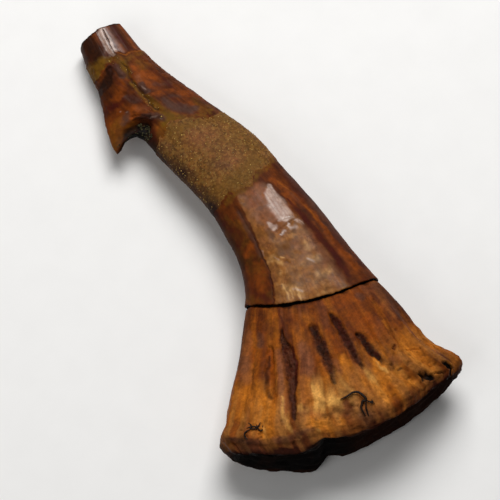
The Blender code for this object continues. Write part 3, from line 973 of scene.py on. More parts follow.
CROWN_STAINS = {
    Mineral.RUST: as_strokes(
        ("right ridge", 75, 60, (26.6, 48, 35), (25.2, 60, 40), (24, 66, 35), (22, 76, 36), (20.3, 76, 22),
         (18.4, 73, 40), (15, 80, 50)),
        ("beside the facet", 50, 70, (24.5, 50, 35), (23.2, 53, 30)),
        ("slanted streak", 70, 70, (18.9, -86, 22), (19.6, -76, 25), (20.4, -66, 18)),
        ("left strip", 40, 70, (17.6, -72, 50), (15, -76, 60)),
        ("right below the tip", 55, 80, (47, 24, 45), (46.2, 42, 90), (44.6, 34, 110), (43.4, 36, 70)),
        ("bright streak", 50, 90, (46.8, 22, 25), (45.4, 20, 40), (44.4, 45, 40)),
        ("right above the sand", 60, 70, (42.2, 5, 35), (41.9, 50, 35), (41, 62, 50), (40.2, 85, 40)),
        ("left below the tip", 60, 70, (45.8, -40, 50), (45.2, -58, 60), (44.6, -72, 50)),
        ("barb", 48, 80, (43.4, -86, 50), (42.4, -93, 60), (41.6, -97, 50)),
        ("over the pocket", 70, 80, (42, -78, 50), (41.4, -66, 40), (40.9, -58, 30)),
        ("root of the barb", 60, 80, (42.4, -62, 35), (41.7, -50, 35)),
        ("by the pocket", 75, 70, (38.6, -48, 40), (37.9, -60, 50), (38, -30, 50)),
        ("side of the tip", 55, 70, (52.6, 80, 35), (49.6, 78, 40)),
        ("edge of the tip", 50, 70, (52.3, -96, 30), (51.6, -97, 25)),
    ),
    Mineral.GREY: as_strokes(
        ("upper window", 75, 50, (26.4, 12, 60), (25.2, 0, 150), (23, -2, 160)),
        ("right of the window", 60, 70, (20.2, 40, 50), (18.4, 40, 50), (16.8, 42, 60), (14.4, 40, 80)),
        ("grey streak on the tip", 60, 60, (52.5, 28, 18), (50.6, 30, 25), (49.6, 30, 30)),
        ("mauve left of it", 35, 80, (51.8, -36, 22), (50.2, -30, 25)),
        ("pale streak below the tip", 60, 80, (45.4, 12, 30), (44.8, 5, 30)),
        ("over the barb", 45, 80, (42, -56, 40), (41.4, -48, 40)),
    ),
    Mineral.CREAM: as_strokes(
        ("bruise by the pit", 75, 90, (17.8, -36, 20), (17.5, -30, 22)),
        ("bruise to the right", 45, 90, (19, 27, 30), (18.4, 24, 30)),
        ("lower bruise", 40, 90, (17.3, 18, 30), (17, 30, 30)),
        ("middle bruise", 30, 90, (16.8, 2, 35)),
        ("pale edge", 45, 95, (14.9, -38, 35), (14.6, -26, 55), (14.3, -20, 45)),
        ("low scratch", 90, 90, (15.2, -42, 6), (14.3, -38.5, 9), (13.6, -37, 6)),
        ("second scratch", 90, 90, (14.9, -23.5, 8), (14.1, -22, 11), (13.5, -22, 6)),
        ("third scratch", 70, 90, (14.6, -33, 5), (13.8, -31, 7)),
        ("flecks above the pit", 80, 90, (18.1, -28, 9), (17.95, -24, 9)),
        ("pebble in the furrow", 70, 40, (40.8, -28, 13)),
    ),
    Mineral.PURPLE: as_strokes(
        ("right edge", 70, 70, (26.8, 92, 45), (22, 92, 50), (18.5, 93, 40)),
        ("left of the fissure", 60, 90, (24.6, -56, 20), (23.3, -55, 28), (21.4, -59, 22), (18.8, -60, 20)),
        ("upper right", 40, 80, (24.4, 62, 20), (23.6, 66, 20)),
        ("spot in the window", 50, 80, (17.4, -21, 14)),
        ("right of the window", 45, 90, (20.6, 42, 30), (18.6, 42, 40), (16, 46, 40), (14.4, 50, 30)),
        ("over the orange", 55, 80, (43.4, 30, 30), (42.9, 62, 30)),
        ("band above the sand", 90, 60, (41.1, 7, 35), (40.1, 6, 50), (39.4, 18, 65), (38.5, 34, 55),
         (38.4, 48, 40)),
        ("upper streak of it", 60, 80, (41.3, 28, 30), (40.7, 42, 30)),
        ("over the barb", 90, 70, (44.1, -60, 30), (43.5, -50, 42), (42.8, -44, 35)),
        ("on the barb", 85, 90, (42.6, -79, 13), (42, -85, 20), (41.6, -89, 14)),
        ("upper blob", 115, 50, (47.8, -22, 38), (46.5, -19, 40)),
        ("middle blob", 115, 50, (44.2, -1, 36), (43.2, -5, 32)),
        ("lower blob", 85, 80, (40.9, -62, 20), (40.2, -50, 38), (39.4, -38, 40)),
    ),
    Mineral.AMBER: as_strokes(
        ("glow by the pocket", 30, 90, (38.9, -62, 30), (38.2, -60, 40)),
        ("rim of the film", 35, 90, (49.3, 10, 8), (48.9, 35, 10), (48.8, 60, 10), (48.6, 95, 8)),
        ("golden line", 20, 90, (26.2, 58, 10), (24.4, 64.5, 10), (22.2, 72, 10), (20.9, 73.5, 8)),
    ),
    Mineral.OLIVE: as_strokes(
        ("upper left", 100, 20, (49.7, -95, 55), (49.35, -55, 55), (49.1, -26, 30)),
        ("middle left", 100, 20, (48.9, -95, 55), (48.7, -60, 50)),
        ("lower left", 100, 25, (48.4, -98, 45), (48.3, -80, 35)),
        ("below the tip", 40, 80, (48.7, -5, 45), (48.2, 20, 40), (48.3, 55, 30), (48.3, 90, 25)),
        ("point of the barb", 42, 80, (42.2, -97, 40), (41.6, -99, 45), (41, -100, 45)),
        ("right of the furrow", 50, 90, (47.2, 50, 40), (46.4, 52, 50)),
        ("top of the furrow", 85, 60, (47.9, 0, 50), (46.8, 0, 36), (46, -8, 26)),
        ("beside the furrow", 75, 70, (45.2, -14, 24), (44.2, -19, 24), (42.8, -20, 34), (41.8, -20, 45),
         (40.4, -22, 50), (39.2, -18, 60)),
        ("dust above the sand", 60, 90, (38.9, -45, 40), (39, -30, 50), (38.5, -2, 30)),
        ("dust on the right", 50, 90, (39.6, 75, 40), (38.1, 60, 50), (38, 85, 40)),
    ),
    Mineral.UMBER: as_strokes(
        # Painted shade: the left edges, which turn away from the key light, are darkened.
        ("left edge of the shaft", 70, 80, (39, -95, 60), (35.4, -98, 50), (31.2, -98, 50), (26, -99, 50)),
        ("left edge of the crown", 50, 40, (26, -99, 40), (20, -98, 40), (14, -100, 30)),
        ("under the olive patch", 110, 50, (48.1, -38, 25), (47.4, -52, 45), (46.9, -72, 60),
         (46.6, -90, 55)),
        ("below it", 55, 90, (46.6, -42, 50), (45.8, -64, 50), (45.6, -85, 40)),
        ("right of the tip", 75, 90, (52.8, 60, 45), (50.4, 58, 50), (49.4, 55, 40)),
        ("left of the tip", 90, 35, (52.4, -75, 80), (50.8, -66, 120)),
        ("furrow", 75, 80, (47.9, 3, 5), (47.1, 6, 7), (46.1, -6, 10), (45.1, -12, 8), (44.2, -14, 10),
         (43, -19, 8), (42.2, -19, 11), (41.5, -30, 10), (40.4, -28, 8)),
        # Painted shade along the ledge of the barb and above the pocket behind it.
        ("ledge of the barb", 80, 40, (41.4, -86, 6), (41, -72, 12), (40.2, -54, 12)),
        ("above the pocket", 40, 80, (40.4, -76, 20), (39.8, -70, 30), (39.1, -62, 30)),
    ),
    Mineral.MAROON: as_strokes(
        ("right furrow", 75, 60, (23.9, 48, 14), (22, 53, 34), (20.8, 53, 38), (18.8, 58, 36), (17.2, 62, 38),
         (15.9, 63, 36), (14.4, 62, 22)),
        ("its core", 50, 70, (21.6, 54, 16), (20.8, 55, 18)),
        ("its lower core", 60, 70, (17.5, 62, 16), (16, 64, 20)),
        ("left edge", 60, 70, (24, -90, 40), (22, -80, 60), (20.6, -88, 35)),
        ("lower left", 50, 80, (14.4, -88, 40), (13.9, -70, 40)),
        ("streak over the orange", 40, 80, (43.6, 62, 22), (42.6, 55, 25)),
        ("over the barb", 65, 80, (44.3, -92, 40), (43.9, -76, 35)),
        ("middle of the tip", 50, 70, (52.4, 52, 25), (50.4, 48, 25)),
        ("dark patch in the window", 28, 90, (19.5, 12, 35), (18.9, 16, 35)),
        ("beside the chip", 22, 90, (21.4, 0, 25), (20.9, -24, 35), (19.9, -30, 30)),
        ("curved scratch", 35, 90, (16.3, -4, 3), (15.4, -3, 5), (14.8, 2, 5), (14.1, 7, 3)),
    ),
    # Painted highlights: glints and the reflections on the polished faces, laid on as colour.
    Mineral.PEARL: as_strokes(
        ("polished facet", 78, 30, (26, 33, 22), (25.2, 25, 60), (24, 22, 85), (22.6, 20, 90)),
        ("strip below the facet", 55, 60, (22.05, 2, 16), (21.9, 16, 22), (22, 34, 16)),
        ("left block", 85, 40, (22.2, -14, 25), (21.6, -11, 36)),
        ("its bright corner", 60, 70, (21.4, -13, 14)),
        ("right block", 60, 60, (21.5, 36, 25), (21.1, 42, 25)),
        ("its bright edge", 90, 70, (21.3, 43, 5), (20.9, 45, 6)),
        ("flecks under the chip", 130, 70, (20.62, -6, 8), (20.8, 3, 13)),
        ("brightest fleck", 120, 70, (21.1, 14, 8), (21.35, 19, 10)),
        ("below the flecks", 50, 80, (20.9, 16, 16), (20.9, 28, 14)),
        ("glint in the fissure", 50, 40, (19.4, -53, 7), (18.7, -53, 6)),
        ("streak on the tip", 78, 50, (52.8, 2, 20), (51.6, -10, 34), (50.3, -12, 36), (49.2, -6, 20)),
        ("thin streak on the tip", 75, 60, (52.6, 13, 8), (51.2, 12, 15), (49.6, 8, 15)),
        ("specks on the barb", 50, 40, (43.1, -86, 8)),
        ("more specks", 40, 40, (42.6, -80, 7)),
        ("edge of the ledge", 28, 95, (40.2, -56, 6), (39.7, -45, 10)),
        ("its glint", 60, 90, (39.3, -40, 8)),
        ("glint of the middle blob", 45, 90, (43.9, -5, 7), (43.6, -2, 7)),
        ("facet by the pit", 60, 90, (18.3, -40, 6), (17.9, -33, 10)),
        ("facet to the right", 50, 90, (17.4, 14, 8), (16.9, 22, 13)),
        ("low facet", 50, 90, (14.7, -28, 10), (14.3, -16, 14)),
    ),
    Mineral.BLACK: as_strokes(
        # Painted shade: the left edge of the shaft, which turns away from the key light, is black.
        ("left edge of the shaft", 60, 80, (39.6, -99, 35), (38, -99, 35), (35.8, -100, 30), (32.8, -100, 30),
         (29, -100, 25)),
        ("fissure", 58, 40, (20.9, -57, 3), (20.1, -57, 6), (18.9, -56.5, 12), (18.2, -56, 9), (17, -56, 4),
         (15.6, -59, 3), (13.2, -62, 3)),
        ("upper fissure", 25, 80, (26, -52, 3), (23.4, -55, 5), (20.8, -57, 4)),
        ("crack in the tip", 85, 40, (52.6, 7, 3), (51.6, 6, 5.5), (50.4, 0, 3), (49.3, 0, 3)),
        ("line below the facet", 30, 90, (20.9, -13, 2), (21.25, 11, 4), (21.7, 38, 2)),
    ),
}
CRUST_STAINS = {
    Mineral.UMBER: as_strokes(
        # Painted shade: the left edge, which turns away from the key light, is darkened.
        ("left edge", 80, 80, (39, -98, 40), (36, -99, 40), (31.5, -98, 40), (26, -99, 40)),
        ("left patches", 55, 90, (34.4, -80, 30), (33.2, -83, 30), (32.2, -82, 45), (31.3, -77, 35),
         (30.6, -80, 20)),
        ("lower patches", 60, 70, (29.4, -84, 30), (27.4, -86, 40), (25.6, -90, 50)),
    ),
    Mineral.GREY: as_strokes(
        ("middle", 28, 90, (36, -5, 70), (34, -10, 140), (31.8, 0, 150), (30.4, 10, 90)),
    ),
    Mineral.PURPLE: as_strokes(
        ("over the left edge", 25, 90, (36.6, -80, 50), (34, -66, 30)),
        ("low in the middle", 30, 90, (31, -35, 50), (30.2, -10, 40)),
    ),
    Mineral.OLIVE: as_strokes(
        ("top", 60, 80, (37.6, -50, 90), (37, -10, 50), (36.8, 50, 90), (36, 85, 100)),
        ("right", 40, 80, (34, 70, 70), (31, 75, 70)),
        ("bottom", 60, 80, (28, -50, 110), (28.6, 10, 100), (29.6, 50, 80)),
    ),
}


# ---- Skins: the surfaces that are laid over the form
@dataclass(frozen=True)
class Rows:
    """The rows of points of a skin, from one end to the other, as columns (rows, 1).

    along is each row's place, tuck how far it is sunk, across and up how far it is drawn
    in, push how far it is moved towards the tip, and face its share of the roughness of a
    broken face.
    """

    along: Values
    tuck: Values
    across: Values
    up: Values
    push: Values
    face: Values


def row_path(knots: tuple[tuple[float, ...], ...], counts: tuple[int, ...]) -> Rows:
    """Fills in the rows between knots.

    Args:
        knots: Rows given as (along, tuck, across, up, push, face).
        counts: How many steps there are from each knot to the next.

    Returns:
        All the rows.
    """
    parts = [np.linspace(0.0, 1.0, count, endpoint=False) for count in counts]
    shares = np.concatenate([step + part for step, part in enumerate(parts)] + [[len(counts)]])
    columns = np.array(knots, dtype=float).T
    return Rows(*(np.interp(shares, np.arange(len(knots)), column)[:, None] for column in columns))


def weld(mesh: bmesh.types.BMesh, data: Mesh) -> None:
    """Welds a mesh, turns its faces outwards, makes them smooth and stores it.

    Args:
        mesh: The mesh, which is freed.
        data: Where it is stored.
    """
    bmesh.ops.remove_doubles(mesh, verts=mesh.verts, dist=WELD)
    bmesh.ops.recalc_face_normals(mesh, faces=mesh.faces)
    for face in mesh.faces:
        face.smooth = True
    mesh.to_mesh(data)
    mesh.free()


def laid_mesh(name: str, surface: Values, layers: dict[str, Values]) -> Mesh:
    """Lays a grid over a surface that closes round itself, and welds its seam and ends.

    Each end is drawn together in one point, so that no slit is left there.

    Args:
        name: The mesh's name.
        surface: Points (rows, columns, 3) in millimetres.
        layers: Values (rows, columns) or vectors (rows, columns, 3) for its attributes.

    Returns:
        The closed mesh, in metres.
    """
    rows, columns = surface.shape[:2]
    for end in (0, -1):
        surface[end] = surface[end].mean(axis=0)
    mesh = bmesh.new()
    bmesh.ops.create_grid(mesh, x_segments=columns - 1, y_segments=rows - 1, size=1.0)
    flat = np.array([vert.co for vert in mesh.verts])
    row = np.rint((flat[:, 1] + 1.0) / 2.0 * (rows - 1)).astype(int)
    column = np.rint((flat[:, 0] + 1.0) / 2.0 * (columns - 1)).astype(int)
    data = bpy.data.meshes.new(name)
    mesh.to_mesh(data)
    data.vertices.foreach_set("co", (surface[row, column] * MM).ravel())
    for layer, values in layers.items():
        vector = values.ndim == 3
        kind = "FLOAT_VECTOR" if vector else "FLOAT"
        attribute = data.attributes.new(layer, kind, "POINT")
        laid = values[row, column].astype(np.float32)
        attribute.data.foreach_set("vector" if vector else "value", laid.ravel())
    mesh.clear()
    mesh.from_mesh(data)
    weld(mesh, data)
    return data


def put(name: str, data: ID) -> Object:
    """Puts a new object in the scene."""
    made = bpy.data.objects.new(name, data)
    bpy.context.scene.collection.objects.link(made)
    return made


def place_piece(data: Mesh, material: Material) -> Object:
    """Puts a mesh in the scene as a piece that stands for part of the tooth.

    Args:
        data: The piece's mesh, in place.
        material: What it is made of.

    Returns:
        The piece.
    """
    data.materials.append(material)
    piece = put(data.name, data)
    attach(piece, "root")
    LOG.info("%s: %d faces", piece.name, len(data.polygons))
    return piece


@dataclass
class Skin:
    """A surface laid over the form, with a relief and stains of its own."""

    form: ToothForm
    name: str
    over: int  # columns over the top
    beneath: int  # columns underneath
    seed: int
    ragged: float = 0.16  # how far the edges of strokes wander
    ragged_below: float = 1.4

    STEP = 0.02  # between the points that a direction is worked out from

    def __post_init__(self) -> None:
        """Makes the noises that the skin reads."""
        self.noise = Noise(self.seed)
        self.other = Noise(self.seed + 100)

    def angles(self) -> Values:
        """Angles of the columns, from the middle of the underside all the way round."""
        start = np.linspace(-math.pi / 2.0, 0.0, self.beneath // 2, endpoint=False)
        top = np.linspace(0.0, math.pi, self.over, endpoint=False)
        end = np.linspace(math.pi, 1.5 * math.pi, self.beneath // 2 + 1)
        return np.concatenate((start, top, end))

    def shift(self, places: Places) -> Values:
        """How far strokes are moved at each place, more on the underside."""
        top = ease((places.upper + 0.5) / 0.5)
        amount = self.ragged * top + self.ragged_below * (1.0 - top)
        along = self.noise.rough(places.plain + 31.0, 0.9) * 1.6
        side = self.other.rough(places.plain + 17.0, 0.7)
        wide = self.noise.at(places.plain + 5.0, 5.0) * (1.0 - top) * self.ragged_below
        return np.stack((along * amount + wide, side * amount + wide), axis=-1)

    def stained(self, places: Places, stains: Stains, shift: Values, minerals: Iterable[Mineral] = Mineral
                ) -> dict[str, Values]:
        """How strong each mineral's strokes are at each place, by the mineral's attribute."""
        return {mineral.name.lower(): self.form.strokes(places, stains.get(mineral, ()), shift)
                for mineral in minerals}

    def relief(self, places: Places) -> Values:
        """How far the skin stands out from the plain form."""
        raise NotImplementedError

    def at(self, along: Values, across: Values) -> tuple[Values, Values]:
        """Finds points of the skin's upper side.

        Args:
            along: Their places along the tooth.
            across: Their places across it.

        Returns:
            The points and the directions that face out there, both (..., 3).
        """
        angle = self.form.angle_at(along, across)
        corners = []
        for more_along, more_angle in ((0.0, 0.0), (self.STEP, 0.0), (0.0, self.STEP)):
            places = self.form.lay(along + more_along, angle + more_angle)
            corners.append(self.form.points(places, self.relief(places)))
        out = np.cross(corners[2] - corners[0], corners[1] - corners[0])
        out = out / np.linalg.norm(out, axis=-1, keepdims=True)
        return corners[0], np.where(out[..., 2:] < 0.0, -out, out)


@dataclass
class Root(Skin):
    """The fluted root, with its slots, its spongy rim and its broken end."""

    neck: float = 1.4  # how far it goes on under the crown
    crack: float = 0.3  # depth of the crack under the crown's edge
    crack_width: float = 0.16
    arch: float = 0.22  # how far the crown's edge bends up in the middle
    fibre: float = 0.065  # heights of the fibres and of the lumps
    lump: float = 0.06
    end_rough: float = 0.22  # how rough the broken end is

    LEDGE = SmoothTable([-1.0, -0.9, -0.6, -0.45, -0.34, -0.25, -0.17, -0.06, 0.15, 0.38, 0.6, 1.0],
                        [0.3, 0.38, 0.36, 0.45, 0.22, -0.72, -0.5, -0.15, -0.2, -0.12, 0.05, 0.15])
    RIM = SmoothTable([-1.0, -0.8, -0.69, -0.55, -0.42, -0.29, -0.19, -0.06, 0.02, 0.23, 0.44, 0.65, 1.0],
                      [0.0, 0.2, 0.25, 0.35, 0.55, 0.75, 0.45, 0.1, 0.0, -0.3, -0.2, 0.0, 0.0])
    LEFT_EDGE = SmoothTable([0.0, 0.3, 0.75, 1.2, 1.65, 2.1, 2.9, 3.6, 4.6, 6.0],
                            [0.25, 0.36, 0.55, 0.45, 0.1, -0.24, -0.26, -0.2, -0.1, 0.0])
    RIGHT_EDGE = SmoothTable([0.0, 0.8, 1.5, 2.2, 3.0, 3.8, 5.0], [0.18, 0.3, 0.22, 0.0, -0.2, -0.2, 0.0])

    def edge(self, places_angle: Values) -> Values:
        """Where the crown's edge crosses each column, a little wavy."""
        across = np.cos(places_angle)
        wave = self.arch * np.exp(-(((across + 0.15) / 0.35) ** 2))
        wave = wave - self.arch * np.clip(np.abs(across) - 0.3, 0.0, 1.0)
        return self.form.crown_edge + wave * ease((np.sin(places_angle) + 0.3) / 0.3)

    def rows(self) -> Rows:
        """Rows from the middle of the broken end to a point hidden in the crown."""
        edge = self.form.crown_edge
        knots = (
            (0.0, 0.0, 0.0, 0.0, 1.75, 1.0),
            (0.0, 0.0, 0.62, 0.1, 1.6, 1.0),
            (0.0, 0.0, 0.76, 0.28, 1.28, 1.0),
            (0.0, 0.0, 0.84, 0.5, 0.48, 1.0),
            (0.0, 0.0, 0.91, 0.74, -0.33, 1.0),
            (0.0, 0.2, 0.97, 0.91, -0.5, 0.9),
            (0.0, 0.28, 1.0, 1.0, 0.0, 0.5),
            (0.25, 0.09, 1.0, 1.0, 0.0, 0.3),
            (0.7, 0.0, 1.0, 1.0, 0.0, 0.0),
            (edge - 0.6, 0.0, 1.0, 1.0, 0.0, 0.0),
            (edge, 0.0, 1.0, 1.0, 0.0, 0.0),
            (edge + 0.5, 0.3, 1.0, 1.0, 0.0, 0.0),
            (edge + self.neck, 1.0, 1.0, 1.0, 0.0, 0.0),
            (edge + self.neck, 1.0, 0.0, 0.0, 0.0, 0.0),
        )
        counts = (8, 10, 10, 10, 8, 5, 3, 4, 106, 8, 5, 3, 4)
        return row_path(knots, counts)

    def carving(self, places: Places, shift: Values) -> Values:
        """Depth of the slots and holes, and height of the ridges, as one relief."""
        on_top = ease(places.upper / 0.25)
        rubble = self.noise.rough(places.plain, 0.34) * 0.5
        slots = self.form.strokes(places, ROOT_SLOTS, shift * 0.7) * 0.8
        carved = slots * (1.0 - rubble) + self.form.strokes(places, ROOT_HOLES, shift)
        return (self.form.strokes(places, ROOT_RIDGES, shift) - carved) * on_top

    def relief(self, places: Places) -> Values:
        """How far the root's surface stands out from the plain form."""
        shift = self.shift(places)
        along, across, plain = places.along, places.across, places.plain
        low = ease((9.0 - along) / 8.0)  # the weathered part near the rim
        fibres = self.noise.rough(places.grain(), (3.2, 0.45, 0.45), 2) * self.fibre * (0.5 + low)
        lumps = self.noise.rough(plain, 1.0) * self.lump * (0.4 + low)
        rim = ease((5.4 - along + 0.8 * across) / 3.2)  # the spongy part
        sponge = self.other.rough(plain, 0.42, 2)
        sponge = (0.05 * sponge - 0.14 * ease((sponge - 0.32) / 0.45)) * rim
        below = along - self.edge(places.angle)
        wide = self.crack_width * (1.0 + 0.5 * self.other.rough(plain + 40.0, 0.9, 4))
        crack = -self.crack * np.exp(-(((below + 0.1) / wide) ** 2))
        crack = np.where(below > -0.1, -self.crack, crack)
        left = self.LEFT_EDGE.at(along) * ease((-0.72 - across) / 0.25)
        right = self.RIGHT_EDGE.at(along) * ease((across - 0.76) / 0.22)
        edges = (left + right) * ease((7.0 - along) / 2.0)  # scallops of the outline
        return self.form.swell(places) + fibres + lumps + sponge + crack + edges + self.carving(places, shift)

    def layers(self, places: Places, rows: Rows) -> dict[str, Values]:
        """The attributes that tell the finish where each mineral lies."""
        shift = self.shift(places)
        along, across, upper, plain = places.along, places.across, places.upper, places.plain
        grain = places.grain()
        layers = {"grain": grain, **self.stained(places, ROOT_STAINS, shift * 0.6)}
        top = ease(upper / 0.25)
        slots = self.form.strokes(places, ROOT_SLOTS, shift * 0.7) * top
        holes = self.form.strokes(places, ROOT_HOLES[:3], shift) * top
        patch = self.noise.rough(plain + 3.0, 0.8)
        fine = self.other.rough(plain + 9.0, 0.4)
        broad = self.noise.rough(grain + 13.0, (5.0, 1.2, 1.2), 3)
        spots = self.other.rough(grain + 23.0, (1.8, 1.0, 1.0), 3)
        low = ease((8.0 - along) / 6.0)
        pits = ease((self.other.rough(plain, 0.42, 2) - 0.4) / 0.4) * ease((4.8 - along + 0.8 * across) / 3.0)
        # Bare fibres are pale threads; noises spread the other minerals over the whole root.
        threads = ease((self.noise.rough(grain + 3.0, (2.6, 0.34, 0.34), 2) + 0.45) / 0.9)
        layers["straw"] *= 0.2 + 1.05 * threads
        layers["straw"] += 0.2 * threads * low
        layers["amber"] += 0.45 * ease((broad - 0.1) / 0.6) * low
        layers["grey"] += 0.4 * ease((-broad - 0.2) / 0.6)
        layers["rust"] += 0.4 * ease((patch - 0.1) / 0.6)
        layers["maroon"] += 0.3 * ease((-spots - 0.25) / 0.5) * (1.0 - 0.5 * low)
        # The slots are filled with rubble, the first one a little less, its lump hardly.
        inside = ease((slots - 0.06 + 0.08 * patch) / 0.26)
        lump = self.form.strokes(places, ROOT_RIDGES[:1], shift) / ROOT_RIDGES[0].amount
        first = ease((-0.3 - across) / 0.05)
        layers["rubble"] = np.clip(inside, 0.0, 1.0) * (1.0 - 0.1 * first) * (1.0 - 0.6 * lump)
        layers["umber"] += inside * 0.3 * ease(-fine / 0.5)
        layers["umber"] += 0.4 * (1.0 - 0.5 * first) * ease((slots - 0.2) / 0.2)
        layers["maroon"] += inside * 0.4 * ease((fine - 0.1) / 0.5)
        # Painted shade: the underside near the rim is darkened.
        layers["umber"] += ease((0.1 - upper) / 0.3) * ease((1.9 - along) / 0.9)
        # Painted shade: the broken end, which faces away from the key light, is painted dark, and so is the
        # rim above it, but for the part that is lit.
        beyond = 1.0 - rows.up + 0.02 * patch
        warm = 1.0 - 0.75 * ease((across + 0.2) / 0.4)
        sheltered = ease((0.5 + 0.35 * patch - along) / 0.7) * top
        shaded = ease((1.3 + 0.6 * patch - along) / 1.4) * top
        lit = 1.0 - np.exp(-(((across + 0.22) / 0.18) ** 2))
        layers["maroon"] += 0.3 * (shaded * lit)
        layers["umber"] += 0.45 * (sheltered * lit)
        layers["umber"] += (0.6 + 0.4 * warm) * ease((beyond - 0.02) / 0.1)
        # The pits of the spongy rim are darker.
        layers["umber"] += 0.35 * pits
        # Painted shade darkens the crack under the crown's edge and the band round it; the holes are black.
        near = np.abs(along - self.edge(places.angle) + 0.05)
        uneven = self.other.rough(plain + 40.0, 0.9, 4)
        layers["umber"] += 0.6 * ease((0.55 + 0.3 * uneven - near) / 0.5)
        layers["black"] = ease((0.21 + 0.1 * uneven - near) / 0.14) + ease((holes - 0.2) / 0.2)
        # Painted shade: the broken end is black as well, most on its left.
        layers["black"] += warm * ease((beyond - 0.06) / 0.15)
        # Painted shade: the root is black where it runs on under the crown.
        layers["black"] += along > self.form.crown_edge
        return layers

    def build(self, material: Material) -> Object:
        """Builds the root and dresses it.

        Args:
            material: Its finish.

        Returns:
            The piece.
        """
        rows = self.rows()
        angles = self.angles()
        stretch = self.edge(angles) / self.form.crown_edge
        along = rows.along * stretch
        places = self.form.lay(along, angles)
        rough = self.noise.rough(places.plain + 60.0 * rows.across[..., None], 1.6) * self.end_rough
        push = rows.push + rows.face * rough * rows.across
        reach = ease((2.5 - along) / 2.5)
        under = 1.0 - ease((places.upper + 0.3) / 0.6)
        face = ease((1.0 - rows.up) / 0.15)
        push = push - self.LEDGE.at(places.across) * reach * np.maximum(under, face)
        push = push + self.RIM.at(places.across) * reach * (1.0 - under) * rows.up**2
        relief = self.relief(places) - rows.tuck
        inset = (rows.across, rows.up)
        surface = self.form.points(places, relief, inset, push)
        data = laid_mesh(self.name, surface, self.layers(places, rows))
        piece = place_piece(data, material)
        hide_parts("tooth")
        return piece


